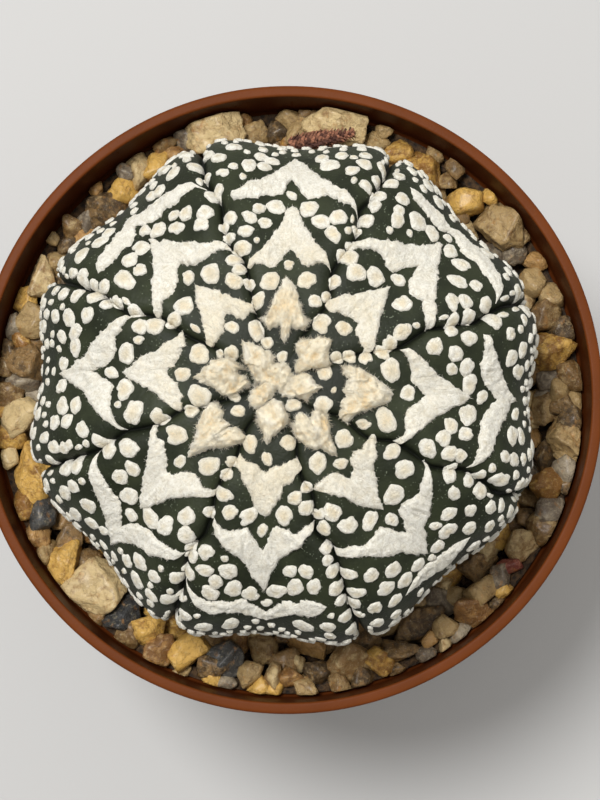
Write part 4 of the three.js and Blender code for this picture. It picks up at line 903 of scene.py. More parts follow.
def felt_material(name, clean, yellow, deep, stain_level, painted_shade, blotch):
    """Matted fibres, clean at the edges and yellowed in the middle where the felt is young, with painted
    shade in the folds and between the fibres.
    """
    shading = Shading(name, roughness=0.95, specular_ior_level=0.1)
    young, core = shading.attribute("shade"), shading.attribute("core")
    blotches = shading.noise(blotch, detail=5, roughness=0.68, distortion=0.8)
    patches = blotches * 0.6 + shading.noise(3.6) * 0.45
    yellowed = (young * 0.40 + core * 0.72 + patches).between(0.68, 1.32)
    base = shading.mix(clean, yellow, yellowed)
    depths = (core * 0.4 + blotches * 0.9 + stain_level).between(0.85, 1.2)
    base = shading.mix(base, deep, depths * young * 0.9)
    stains = shading.noise(2.1, detail=5, roughness=0.7, distortion=1.2)
    base = shading.mix(base, toned(yellow, 0.8), (stains + core * 0.12).between(0.56, 0.74) * 0.6)
    wrinkles = shading.noise(0.75, detail=5, roughness=0.66, distortion=2.0)
    # Painted shade: the felt greys where its wrinkles dip.
    base = shading.mix(base, FELT_FOLD_SHADE, (1 - wrinkles.between(0.34, 0.62)) * painted_shade)
    fibres = shading.noise(0.24, detail=4, roughness=0.8, distortion=1.2)
    # Painted shade: dark specks in the gaps between the fibres.
    base = shading.mix(base, FIBRE_GAP_SHADE, (1 - fibres.between(0.28, 0.44)) * painted_shade)
    shading.feed(base_color=base, normal=shading.bump(fibres * 0.7 + wrinkles * 0.9, 0.5, 0.9))
    return shading.material


def stone_material(stones, kind):
    """Weathered quartz: darker and milky parts, iron stains, bright grains and fine cracks."""
    shading = Shading("stone_" + kind, coat_weight=0.22, coat_roughness=0.3)
    light, dark = (getattr(stones, kind + ending) for ending in ("_light", "_dark"))
    veins = shading.noise(1.5, detail=6, roughness=0.66, distortion=0.5)
    base = shading.mix(dark, light, (veins + shading.attribute("shade") * 0.22).between(0.38, 0.64))
    clouds = shading.noise(0.75, detail=5, roughness=0.68, distortion=0.6)
    base = shading.mix(base, toned(light, 0.62, QUARTZ_MILK), clouds.between(0.52, 0.68) * 0.5)
    stains = shading.noise(1.3, detail=4, roughness=0.65, stretch=(1.3, 0.8, 1.1))
    base = shading.mix(base, IRON_STAIN, stains.between(0.56, 0.70) * 0.45)
    off_middle = shading.noise(2.6, detail=5, roughness=0.55, distortion=0.4) - 0.5
    cracks = 1 - (off_middle ** 2).between(0.0, 0.0006)
    base = shading.mix(base, toned(dark, 0.6), cracks * 0.22)
    grains = shading.noise(0.28, roughness=0.7)
    base = shading.mix(base, toned(light, 0.5, (0.45, 0.45, 0.45)), grains.between(0.60, 0.70) * 0.3)
    relief_height = clouds * 0.8 + grains * 0.5 - cracks * 0.15
    shading.feed(base_color=base, roughness=0.3 + clouds * 0.45,
                 normal=shading.bump(relief_height, 0.45, 0.9))
    return shading.material


def pot_material(pot):
    """Moulded terracotta-coloured plastic, rubbed here and there, with painted shade darkening the inner
    wall.
    """
    shading = Shading("terracotta_plastic", specular_ior_level=0.05)
    tone = shading.noise(9, detail=4).between(0.3, 0.7)
    base = shading.mix(pot.pot_colour, toned(pot.pot_colour, 0.86), tone)
    rub = shading.noise(1.1, detail=5, roughness=0.7, stretch=(1, 1, 0.25)).between(0.6, 0.72)
    base = shading.mix(base, pot.pot_worn, rub * 0.35)
    specks = 1 - shading.cells(1.5).between(0.04, 0.09)
    base = shading.mix(base, POT_SPECK, specks * 0.5)
    # Painted shade darkens the inner wall below the lip.
    base = shading.mix(base, pot.pot_inner_shade, shading.attribute("shade") * (0.8 + tone * 0.15))
    grain = shading.noise(0.3, detail=2)
    shading.feed(base_color=base, roughness=0.40 + rub * 0.22 + grain * 0.1,
                 normal=shading.bump(grain + rub * 0.6, 0.05, 0.5))
    return shading.material


def bed_material():
    """Grit between the stones, so dark that it is partly painted shade in the gaps."""
    shading = Shading("grit_bed", roughness=0.9)
    grains = shading.cells(0.9)
    # Partly painted shade: the near-black grit darkens the gaps between the stones.
    base = shading.mix(GRIT_AND_SHADE_DARK, GRIT_AND_SHADE_LIGHT, grains.between(0.1, 0.75) * shading.noise(1.7, detail=4))
    shading.feed(base_color=base, normal=shading.bump(grains + shading.noise(0.4), 0.5, 0.9))
    return shading.material


def mix_material(pot):
    """Crumbly potting mix."""
    shading = Shading("potting_mix", roughness=0.95)
    crumbs = shading.cells(1.1)
    base = shading.mix(pot.mix_dark, pot.mix_light, crumbs.between(0.2, 0.8) * shading.noise(2.5))
    shading.feed(base_color=base, normal=shading.bump(crumbs, 0.6, 0.9))
    return shading.material


def flower_material():
    """Dry petals with fine streaks."""
    shading = Shading("dried_petals", roughness=0.8)
    streaks = shading.noise(0.5, detail=4, roughness=0.7, distortion=0.8)
    lights = (streaks + shading.attribute("shade") * 0.35).between(0.3, 0.9)
    base = shading.mix(PETAL_DARK, PETAL_LIGHT, lights)
    shading.feed(base_color=base, normal=shading.bump(streaks, 0.2, 0.8))
    return shading.material


def floor_material(stage):
    """A plain floor with hardly any grain."""
    shading = Shading("floor", roughness=0.6)
    base = shading.mix(stage.floor_colour, toned(stage.floor_colour, 0.96), shading.noise(180))
    shading.feed(base_color=base, normal=shading.bump(shading.noise(1.5, detail=2), 0.02, 0.3))
    return shading.material


# The skin: its points across a rib and down the body, and its lumps.
SKIN_COLUMNS = 42
SKIN_ROWS = 150
SKIN_TOP = 0.002
SKIN_LUMP = 2.4
SKIN_LUMP_HEIGHT = 0.10
SKIN_SEED = 3
PLAIN_SHARE = 0.3


def crease_shade(radius, to_furrow):
    """How much painted shade darkens the skin: in its creases, and on the crown between the tufts."""
    crease = np.exp(-to_furrow / 0.55) * smoothstep(radius, 1, 6)
    return np.maximum(crease, 0.6 - 0.6 * smoothstep(radius, 8, 20))


def build_skin(plant):
    """The ribbed green skin, from the apex to the tip of the taproot."""
    shares = crowded(np.linspace(0, 1, SKIN_COLUMNS, endpoint=False), PLAIN_SHARE)
    rings, painted_shades = [], []
    for fall in NECK_FALL * np.linspace(SKIN_TOP, 1, SKIN_ROWS):
        ring = []
        for rib in range(RIBS):
            start, end = rib_edges(rib, fall)
            level = np.full_like(shares, fall)
            width = np.full_like(shares, end - start)
            ring.append(skin(level, start + shares * (end - start), shares, width))
            radius, _ = profile(level)
            # Painted shade for the skin's creases and crown.
            painted_shades.append(crease_shade(radius, furrow_distance(radius, shares, width)))
        rings.append(np.concatenate(ring))
    turn = np.arctan2(rings[-1][:, 1], rings[-1][:, 0])
    for radius, height in TAPROOT:
        rings.append(around_axis(radius, turn, height))
        painted_shades.append(np.zeros(len(turn)))
    points = np.stack(rings)
    lumps = SKIN_LUMP_HEIGHT * noise(points, SKIN_LUMP, SKIN_SEED)
    points += lumps[..., None] * unit(points - (0, 0, WAIST_HEIGHT))
    sheets = Sheets()
    sheets.add(points, grid_faces(len(rings), RIBS * SKIN_COLUMNS, closed=True), np.concatenate(painted_shades))
    sheets.piece("cactus_skin", skin_material(plant), "plant", ["cactus"])


# The felt
FELT_SINK = 0.3


class Felt:
    """Where felt is already, so that more can be strewn between it."""

    def __init__(self):
        self.places, self.radii = np.zeros((0, 3)), np.zeros(0)

    def take(self, points, radius):
        """Marks the room round some points as taken."""
        points = np.asarray(points).reshape(-1, 3)
        self.places = np.concatenate((self.places, points))
        self.radii = np.concatenate((self.radii, np.full(len(points), radius)))

    def free(self, point, radius):
        """Whether the room round a point is free."""
        return (np.linalg.norm(self.places - point, axis=1) > self.radii + radius).all()


def outward(points, faces, normals):
    """The faces of a grid of points, turned so that they look the way of the normals."""
    flat, facing = points.reshape(-1, 3), normals.reshape(-1, 3)
    across = np.cross(flat[faces[:, 2]] - flat[faces[:, 0]], flat[faces[:, 3]] - flat[faces[:, 1]])
    return faces[:, ::-1] if (across * facing[faces[:, 0]]).sum() < 0 else faces


def age(points, shift=0.0):
    """How cream the felt is, from 1 on the young crown to 0 on the old flanks."""
    radius = np.hypot(points[..., 0], points[..., 1])
    return (1 - smoothstep(radius, 8, 27) + shift).reshape(-1)


# The cross-section of a fleck from its middle to under its edge, as radii and heights, and how many points
# go round it: a fine and a plain one.
FLECK_CUTS = {
    True: (np.array((0.0, 0.32, 0.6, 0.8, 0.92, 1.0, 1.03)),
           np.array((1.0, 1.0, 0.98, 0.86, 0.58, 0.08, -0.7)), 26),
    False: (np.array((0.0, 0.5, 0.82, 1.0, 1.04)), np.array((1.0, 0.98, 0.78, 0.1, -0.6)), 16),
}
# How many waves run round a fleck's outline and how deep they are, and the lumps on top of it.
FLECK_WAVES = ((2, 0.05), (3, 0.055), (4, 0.04), (6, 0.032), (9, 0.028))
FLECK_LUMPS = ((0.26, 0.55, 7), (0.20, 0.25, 8))
FLECK_TILT = 0.12
# Some flecks are split at their edge.
CLEFT_CHANCE = 0.22
CLEFT_DEPTH = 0.3
CLEFT_WIDTH = 0.3
# The third point from the end of a cross-section is the widest one on top.
FLECK_RIM = -3


def add_fleck(sheets, rims, fall, azimuth, radius, height, draws, fine=True, stretch=None, lean=None):
    """One fleck: a flat woolly pad with a ragged outline that follows the skin."""
    cuts, rises, count = FLECK_CUTS[fine]
    cuts, rises = cuts[:, None], rises[:, None]
    spokes = np.linspace(0, TAU, count, endpoint=False)
    stretch = draws(1.0, 1.4) if stretch is None else stretch
    lean = draws(0, TAU) if lean is None else lean
    outline = 1.0
    for waves, depth in FLECK_WAVES:
        outline = outline + depth * np.sin(waves * spokes + draws(0, TAU))
    from_cleft = (spokes - draws(0, TAU) + math.pi) % TAU - math.pi
    outline = outline - (draws() < CLEFT_CHANCE) * CLEFT_DEPTH * np.exp(-(from_cleft / CLEFT_WIDTH) ** 2)
    reach = cuts * (1 + (outline - 1) * cuts ** 1.5) * radius
    along, aside = reach * np.cos(spokes) * stretch ** 0.5, reach * np.sin(spokes) / stretch ** 0.5
    down = along * math.cos(lean) - aside * math.sin(lean)
    around = along * math.sin(lean) + aside * math.cos(lean)
    place = moved(fall, azimuth, down, around)
    base, normals = skin(*place), skin_normal(*place)
    tilt = FLECK_TILT * np.sin(spokes + lean) * cuts
    rise = height * (rises + (layered(base, FLECK_LUMPS) + tilt) * (rises > 0.2))
    points = base + normals * rise[..., None]
    faces = outward(points, grid_faces(len(cuts), count, closed=True), normals)
    core = np.repeat(1 - cuts.clip(0, 1), count)
    sheets.add(points, faces, age(base, draws(-0.25, 0.25)), core)
    rim = points[FLECK_RIM]
    rims.append((rim, unit(rim - points[0]), normals[FLECK_RIM]))


def edge_points(corners, count):
    """A line through the given corners at even steps, and how far along it each step lies."""
    corners = np.array(corners, float)
    steps = np.concatenate(((0,), np.cumsum(np.linalg.norm(np.diff(corners, axis=0), axis=1))))
    along = np.linspace(0, steps[-1], count)
    line = np.stack([np.interp(along, steps, corners[:, axis]) for axis in (0, 1)], axis=-1)
    softened = line.copy()
    softened[1:-1] = (line[:-2] + 2 * line[1:-1] + line[2:]) / 4
    return softened, along


# A torn edge strays by several waves, as depth and length in pixels, and tapers off over its last points.
TEARS = ((0.7, 7), (1.0, 3.2), (0.9, 1.6))
TEAR_TAPER = 4
SEED_APART = 31.0


def raggedness(along, seed):
    """How far a torn edge strays from its line, in pixels and in both directions."""
    count = len(along)
    walk = np.stack((along, np.full(count, SEED_APART * seed), np.zeros(count)), axis=-1)
    taper = np.minimum(1, np.minimum(np.arange(count), count - 1 - np.arange(count)) / TEAR_TAPER)[:, None]
    strays = []
    for axis in (0, 1):
        layers = [(*tear, seed + axis + 2 * index) for index, tear in enumerate(TEARS)]
        strays.append(layered(walk, layers))
    return taper * np.stack(strays, axis=-1)


def areole_edges(areole, spacing, seed):
    """The outer and inner edge of an areole and how both stray, in the same steps between its arms' ends."""
    corners, tip, right, notch = areole
    ring = list(corners) + [corners[0]]
    halves = ((ring[:tip + 1], ring[notch:][::-1]), (ring[tip:right + 1], ring[right:notch + 1][::-1]))
    edges = ([], [])
    for half, lines in enumerate(halves):
        reach = max(np.linalg.norm(np.diff(np.array(line), axis=0), axis=1).sum() for line in lines)
        for side, line in enumerate(lines):
            points, along = edge_points(line, int(reach / spacing) + 4)
            strays = raggedness(along, seed + 10 * half + 5 * side)
            edges[side].append(np.concatenate((points, strays), axis=1)[half:])
    return [np.concatenate(edge) for edge in edges]


# A pad has rows of points across it, columns some pixels apart, a torn edge, a top that is flatter and sides
# that are rounder for higher powers, lumps as depth, size and seed, and a yellowed core that is deepened in
# the hollows between the lumps as painted shade.
Pad = namedtuple("Pad", "rows spacing torn flatness roundness lumps core core_lumps tufted")
FELT_PAD = Pad(13, 1.35, 1.15, 4, 0.6, ((0.36, 1.3, 21), (0.35, 0.6, 22), (0.21, 0.3, 23)), 0.30, 0.0, False)
WOOL_PAD = Pad(23, 1.1, 1.2, 2.6, 0.7, ((0.34, 1.5, 21), (0.26, 0.75, 22), (0.24, 0.36, 23)), 0.58, 0.7, True)
TORN_SHARE = 0.2
TORN_SPAN = 9
EDGE_PLAIN_SHARE = 0.45
# Narrow parts of a pad stand less high than wide ones, but at least this share.
NARROW_ROOM = 0.42
LEAST_ROOM = 0.12
AREOLE_ROOM = 0.25


def add_areole(sheets, rims, felt, areole, height, draws, pad):
    """One areole: two tapering arms of matted felt, or of standing wool, that meet in a tip."""
    outer, inner = areole_edges(areole, pad.spacing, int(draws(0, 1000)))
    span = np.linalg.norm(inner[:, :2] - outer[:, :2], axis=1)
    crowd = crowded(np.linspace(0, 1, pad.rows), EDGE_PLAIN_SHARE)[:, None, None]
    pixels = outer[None, :, :2] + crowd * (inner - outer)[None, :, :2]
    strength = pad.torn * np.minimum(1, span / TORN_SPAN)[None, :, None]
    for edge, nearness in ((outer, crowd), (inner, 1 - crowd)):
        pixels = pixels + strength * edge[None, :, 2:] * (1 - nearness / TORN_SHARE).clip(0)
    place = on_body(pixels)
    base, normals = skin(*place), skin_normal(*place)
    room = np.clip(span * PIXEL * NARROW_ROOM / height, LEAST_ROOM, 1)[None]
    pillow = (1 - np.abs(2 * crowd[..., 0] - 1) ** pad.flatness) ** pad.roundness
    lumps = layered(base, pad.lumps)
    rise = height * room * pillow * (1 + lumps) - FELT_SINK * (1 - pillow) ** 2
    points = base + normals * rise[..., None]
    faces = outward(points, grid_faces(pad.rows, points.shape[1]), normals)
    # The wool's tan core is its own colour; deepening it where the lumps dip is painted shade in the hollows.
    core = pillow * room * (pad.core - pad.core_lumps * lumps).clip(0, 1.2)
    sheets.add(points, faces, age(base, draws(-0.15, 0.15)), core)
    if pad.tufted:
        tuft = points[2:-2]
        rims.append((tuft, unit(tuft - points.mean(axis=(0, 1))), normals[2:-2]))
    for row, other in ((1, 3), (pad.rows - 2, pad.rows - 4)):
        rims.append((points[row], unit(points[row] - points[other]), normals[row]))
    felt.take(base[::3, ::2], AREOLE_ROOM)


# The hidden areoles below the waist, one on each rib: the falls of their tip, notch and arms, and how far
# from the furrows their arms end, as a share of the rib.
FLANK_TIP = 2.0
FLANK_NOTCH = 1.76
FLANK_ARM = 1.60
FLANK_INSET = 0.15
FLANK_COLUMNS = 61
FLANK_ROWS = 11
FLANK_WAVES = 9
FLANK_ROOM = 0.35
FLANK_LUMPS = ((0.3, 0.8, 31),)


def add_flank_areole(sheets, felt, rib, height):
    """One areole that the photograph doesn't show, with the same V as the ones above it."""
    shares = np.linspace(-1, 1, FLANK_COLUMNS)
    along = 1 - np.abs(shares)
    across = 0.5 + np.sign(shares) * (0.5 - FLANK_INSET) * (1 - along)
    walk = np.stack((FLANK_WAVES * shares, 0 * shares, 0 * shares + rib), axis=-1)
    outer = FLANK_ARM + (FLANK_TIP - FLANK_ARM) * along + 0.03 * noise(walk, 1, 5)
    inner = FLANK_ARM + (FLANK_NOTCH - FLANK_ARM) * along ** 0.8 + 0.02 * noise(walk, 1, 6)
    crowd = crowded(np.linspace(0, 1, FLANK_ROWS), 0)[:, None]
    falls = outer[None] + crowd * (inner - outer)[None]
    start, end = rib_edges(rib, falls)
    azimuths = start + across[None] * (end - start)
    base, normals = skin(falls, azimuths), skin_normal(falls, azimuths)
    pillow = (1 - np.abs(2 * crowd - 1) ** 3.2) ** 0.62
    rise = height * pillow * (0.3 + 0.7 * along[None]) * (1 + layered(base, FLANK_LUMPS))
    rise = rise - FELT_SINK * (1 - pillow)
    points = base + normals * rise[..., None]
    faces = outward(points, grid_faces(FLANK_ROWS, FLANK_COLUMNS), normals)
    sheets.add(points, faces, 0.1, np.broadcast_to(0.3 * pillow, falls.shape))
    felt.take(base[::2, ::2], FLANK_ROOM)


# The flecks that line the furrows: from and to which fall they run, and the least and most of their steps
# down, their radii, how far in from the furrow they lie and how long they are for their width.
LINE_FALLS = (0.34, 2.25)
LINE_STEPS = (0.07, 0.15)
LINE_RADII = (0.38, 0.62)
LINE_INSETS = (0.75, 1.35)
LINE_STRETCHES = (1.9, 3.2)
LINE_THICKNESS = 0.8
LINE_ROOM = 0.1
# How far down the flank a fall of one radian leads, and the step over which a furrow's course is read.
FALL_LENGTH = 33
COURSE_STEP = 0.03
# The other flecks: the least and greatest fall, how many are tried, and the least and greatest radius.
LOOSE_FLECKS = ((0.5, 1.45, 2600, 0.42, 0.75), (1.35, 2.4, 5200, 0.6, 1.15))
LOOSE_SHARES = (0.05, 0.95)
LOOSE_ROOM = 0.28


def line_furrows(sheets, rims, felt, height, draws):
    """Small long flecks along both sides of every furrow."""
    for rib, inner_side in itertools.product(range(RIBS), (True, False)):
        fall = LINE_FALLS[0]
        while fall < LINE_FALLS[1]:
            start, end = rib_edges(rib, np.array(fall))
            radius, _ = profile(np.array(fall))
            size = draws(*LINE_RADII)
            inset = draws(*LINE_INSETS) / (radius * (end - start))
            azimuth = start + (inset if inner_side else 1 - inset) * (end - start)
            place = np.array(fall), np.array(azimuth)
            if felt.free(skin(*place), size + LINE_ROOM):
                course = rib_edges(rib, np.array(fall + COURSE_STEP))[0] - start
                lean = math.atan2(float(course * radius), COURSE_STEP * FALL_LENGTH)
                add_fleck(sheets, rims, *place, size, height, draws, False, draws(*LINE_STRETCHES), lean)
                felt.take(skin(*place), size)
            fall += draws(*LINE_STEPS)


def strew_flecks(sheets, rims, felt, height, draws):
    """Flecks wherever there is room, larger ones down the flanks."""
    for low, high, tries, small, large in LOOSE_FLECKS:
        for _ in range(tries):
            place = np.array(draws(low, high)), np.array(draws(0, TAU))
            size = draws(small, large)
            share, _ = rib_share(*place)
            if LOOSE_SHARES[0] < share < LOOSE_SHARES[1] and felt.free(skin(*place), size + LOOSE_ROOM):
                add_fleck(sheets, rims, *place, size, height, draws, False)
                felt.take(skin(*place), size)


# A hair is a thin tapering prism: two triangles of points and a tip, three sides below and three at the tip.
HAIR_POINTS = 7
HAIR_SIDES = np.array([(0, 1, 4, 3), (1, 2, 5, 4), (2, 0, 3, 5)])
HAIR_TIP = np.array([(3, 4, 6), (4, 5, 6), (5, 3, 6)])
HAIR_RADIUS = 0.018
HAIR_SCATTER = 0.05
HAIR_SINK = 0.08
HAIR_BEND = 0.22
HAIR_MIDDLE = 0.55
# The name of each set of hairs, its seed, count, length, spread and lift out of the skin.
HAIRS = {
    "felt": ("areole_hairs", 12, 6000, 0.8, 0.5, 0.35),
    "fleck": ("fleck_hairs", 11, 3000, 0.5, 0.4, 0.35),
    "wool": ("wool_hairs", 10, 12000, 1.3, 0.7, 0.15),
}


def add_hairs(sheets, rims, longest, count, seed, lift, spread):
    """Short tapering hairs that leave a rim and lean over the skin."""
    roots, directions, normals = (np.concatenate([part.reshape(-1, 3) for part in parts])
                                  for parts in zip(*rims))
    generator = np.random.default_rng(seed)
    pick = generator.integers(0, len(roots), count)
    root = roots[pick] + generator.normal(0, HAIR_SCATTER, (count, 3)) - HAIR_SINK * normals[pick]
    lean = directions[pick] + lift * normals[pick] * generator.uniform(0.2, 1.6, (count, 1))
    lean = unit(lean + generator.normal(0, spread, (count, 3)))
    reach = longest * generator.uniform(0.5, 1.35, (count, 1))
    aside = unit(np.cross(lean, generator.normal(0, 1, (count, 3))))
    other = np.cross(lean, aside)
    bend = generator.normal(0, HAIR_BEND, (count, 3)) * reach
    corners = [root + HAIR_RADIUS * (math.cos(angle) * aside + math.sin(angle) * other)
               for angle in (0, TAU / 3, 2 * TAU / 3)]
    middle = [corner + HAIR_MIDDLE * reach * lean + 0.5 * bend for corner in corners]
    points = np.stack(corners + middle + [root + reach * lean + bend], axis=1)
    first = HAIR_POINTS * np.arange(count)[:, None, None]
    shade, core = age(root).repeat(HAIR_POINTS), 0.5 * generator.random(count).repeat(HAIR_POINTS)
    tips = (HAIR_TIP + first + sheets.count).reshape(-1, 3)
    sheets.add(points, (HAIR_SIDES + first).reshape(-1, 4), shade, core)
    sheets.faces.extend(tips.tolist())


def build_felt(plant):
    """Old areoles, flecks, young wool and their hairs."""
    draws = Draws(seed=71)
    felt = Felt()
    white = felt_material("felt_white", plant.felt_white, plant.felt_cream, OLD_FELT,
                          stain_level=0.29, painted_shade=0.5, blotch=1.1)
    cream = felt_material("wool_cream", plant.wool_light, plant.wool_cream, plant.wool_tan,
                          stain_level=0.28, painted_shade=0.26, blotch=1.7)
    rims = {kind: [] for kind in HAIRS}

    areoles = Sheets()
    thickness = plant.felt_thickness / MM
    for areole in OLD_AREOLES:
        add_areole(areoles, rims["felt"], felt, areole, thickness, draws, FELT_PAD)
    for rib in range(RIBS):
        add_flank_areole(areoles, felt, rib, thickness)
    areoles.piece("felt_areoles", white, "plant")

    wool = Sheets()
    for areole in YOUNG_AREOLES:
        add_areole(wool, rims["wool"], felt, areole, plant.wool_thickness / MM, draws, WOOL_PAD)
    wool.piece("wool_tufts", cream, "plant")

    flecks = Sheets()
    thickness = plant.fleck_thickness / MM
    for place, (_, _, radius) in zip(zip(*on_body([fleck[:2] for fleck in FLECKS])), FLECKS):
        add_fleck(flecks, rims["fleck"], *place, radius * PIXEL * 0.98, thickness, draws)
        felt.take(skin(*place), radius * PIXEL)
    flecks.piece("felt_flecks", white, "plant")
    strewn = Sheets()
    line_furrows(strewn, rims["fleck"], felt, LINE_THICKNESS * thickness, draws)
    strew_flecks(strewn, rims["fleck"], felt, thickness, draws)
    strewn.piece("strewn_flecks", white, "plant")

    for kind, (name, seed, count, reach, spread, lift) in HAIRS.items():
        hairs = Sheets()
        add_hairs(hairs, rims[kind], reach * (plant.hair_length / MM), count, seed, lift, spread)
        hairs.piece(name, cream if kind == "wool" else white, "plant")


# The stones
def ball(detail):
    """The points and triangles of a ball of radius 1."""
    shell = bmesh.new()
    bmesh.ops.create_icosphere(shell, subdivisions=detail, radius=1)
    points = np.array([tuple(vertex.co) for vertex in shell.verts])
    faces = np.array([[vertex.index for vertex in face.verts] for face in shell.faces])
    shell.free()
    return unit(points), faces


PLAIN_CHIP, FINE_CHIP, LARGE_CHIP = 3, 4, 5
BALLS = {detail: ball(detail) for detail in (PLAIN_CHIP, FINE_CHIP, LARGE_CHIP)}
# A chip is cut by planes strewn round it, at depths from the least to the whole radius. The crisper it is,
# the less its edges are worn. Its lumps are given as size and depth.
CHIP_FACETS = 12
LARGE_FACETS = 14
CHIP_SCATTER = 0.34
CHIP_DEPTHS = (0.60, 1.0)
CHIP_CRISPNESS = 46
CHIP_LUMPS = ((0.55, 0.05), (0.25, 0.045), (0.11, 0.022))
CHIP_TILT = 0.18


def chip(middle, long, wide, high, turn, seed, detail=FINE_CHIP, facets=CHIP_FACETS):
    """An angular chip: a ball cut by a few planes, with its edges a little worn, fitted to its size."""
    generator = np.random.default_rng(seed)
    around, faces = BALLS[detail]
    step = np.arange(facets) + 0.5
    level = 1 - 2 * step / facets
    angle = step * GOLDEN_ANGLE + generator.uniform(0, TAU)
    planes = around_axis(np.sqrt(1 - level * level), angle, level)
    planes = unit(planes + generator.normal(0, CHIP_SCATTER, planes.shape))
    facing = np.clip(around @ planes.T / generator.uniform(*CHIP_DEPTHS, facets), 0, None)
    reach = (facing ** CHIP_CRISPNESS).sum(axis=1) ** (-1 / CHIP_CRISPNESS)
    shift = generator.uniform(0, 90, 3)
    for size, depth in CHIP_LUMPS:
        reach = reach + depth * noise(around + shift, size)
    points = around * reach[:, None]
    points = (points - (points.max(axis=0) + points.min(axis=0)) / 2) / np.ptp(points, axis=0)
    tilt = Matrix.Rotation(turn, 3, "Z") @ Matrix.Rotation(generator.normal(0, CHIP_TILT), 3, "X")
    return (points * (long, wide, high)) @ np.array(tilt).T + middle, faces


# The pot's inner wall, as heights and radii.
WALL_HEIGHTS = (FLOOR_TOP, COLLAR_FOOT, LEDGE_TOP, POT_HEIGHT)
WALL_RADII = (FOOT_RADIUS - WALL + FOOT_FLARE, WALL_TOP_RADIUS - WALL,
              RIM_RADIUS - RIM_LIP - LIP_TAPER, RIM_RADIUS - RIM_LIP)
CLEAR_HEIGHTS = (MIX_TOP, COLLAR_FOOT, LEDGE_TOP, POT_HEIGHT)
WALL_GAP = 0.15
PLANT_GAP = 0.7
FLANK_FALLS = np.linspace(math.pi / 2, NECK_FALL, 60)
# A stone that is lifted by more than this lies above the pot's ledge.
LIFTED = 2.0
STONE_REACH = 0.36
# A stone that comes this near to the wall is lifted above the ledge, by a share of its size more.
LEDGE_GAP = 0.6
LEDGE_LIFT = 1.7
LEDGE_SHARE = 0.12


def inner_radius(height, gap=0.0):
    """The radius of the pot's inner wall at a height, let in by a gap."""
    return float(np.interp(height, WALL_HEIGHTS, WALL_RADII)) - gap


def stone_middle(x, y, lift, size):
    """The middle of a stone seen at a pixel, moved in where the wall would cut it."""
    middle = at_height((x, y), STONE_LAYER)
    level = STONE_LAYER + lift * (lift > LIFTED)
    most = inner_radius(level, CLEARANCE) - STONE_REACH * size
    out = math.hypot(middle[0], middle[1])
    if out > most:
        middle = middle * (most / out)
    middle[2] = STONE_LAYER + lift + GRIT_SLOPE * middle[1]
    return middle


def on_ledge(middle, size):
    """Lifts a stone that reaches over the pot's ledge, so that it lies on it."""
    if math.hypot(middle[0], middle[1]) + 0.5 * size > inner_radius(COLLAR_FOOT) - LEDGE_GAP:
        middle[2] = max(middle[2], COLLAR_FOOT + LEDGE_LIFT + LEDGE_SHARE * size)
    return middle


def keep_clear(points):
    """Pushes points out of the plant and in from the pot's wall."""
    radius = np.hypot(points[:, 0], points[:, 1]).clip(TINY)
    wall = np.interp(points[:, 2], CLEAR_HEIGHTS, [inner_radius(level, WALL_GAP) for level in CLEAR_HEIGHTS])
    factor = np.minimum(1, wall / radius)
    radii, heights = profile(FLANK_FALLS)
    plant = np.interp(points[:, 2], heights[::-1], radii[::-1]) + PLANT_GAP
    factor = np.maximum(factor, plant / radius)
    points = points.copy()
    points[:, :2] *= factor[:, None]
    return points


# The repeatable draws that each stone passes over.
DRAWS_PER_STONE = 18
# The room that a stone takes, as a share of its length.
LARGE_ROOM = 0.5
SHOWN_ROOM = 0.46
CHIP_ROOM = 0.4
LARGE_SIZE = 6
SHOWN_LIFT = 0.6
SHOWN_HEIGHT = 1.1
# The stones of a middle size: how far they stray along and across their ring, their least size and how much
# more they may have, how deep they lie and how much less, and their width and height as shares of their
# length.
FILL_STRAY_ALONG = 0.7
FILL_STRAY_OUT = 2
FILL_SIZE = 4
FILL_SIZE_MORE = 1.8
FILL_DEPTH = 1.6
STONE_LIFT = 0.8
FILL_WIDTH = 0.8
FILL_HEIGHT = 0.9
# The small chips: their sizes at first and how much smaller the last ones are, the radii between which they
# fall, how near to the wall they come, how high they lie inside and on the ledge, and how much they may
# overlap.
LOOSE_SIZES = (5.2, 6.0)
LOOSE_SHRINK = 3.2
LOOSE_RADII = (26, 43.5)
LOOSE_WALL = 43.3
LOOSE_WALL_SHARE = 0.42
LOOSE_HEIGHT = GRIT_TOP + 0.3
LOOSE_RISE = 1.6
LOOSE_RISE_RADII = (36, 40)
LOOSE_OVERLAP = 0.70
LOOSE_WIDTHS = (0.7, 1.0)
LOOSE_THICKNESS = 0.85


def shown_stones(draws):
    """The stones that the photograph shows, apart from the large ones, with the room that each takes."""
    for x, y, long, wide, turn, kind in SHOWN_STONES:
        long, wide = long * LAYER_PIXEL, wide * LAYER_PIXEL
        middle = stone_middle(x, y, SHOWN_LIFT * draws(), (long + wide) / 2)
        draws.skip(DRAWS_PER_STONE)
        shape = (long, wide, SHOWN_HEIGHT * wide, math.radians(turn), kind)
        yield on_ledge(middle, wide), SHOWN_ROOM * long, shape


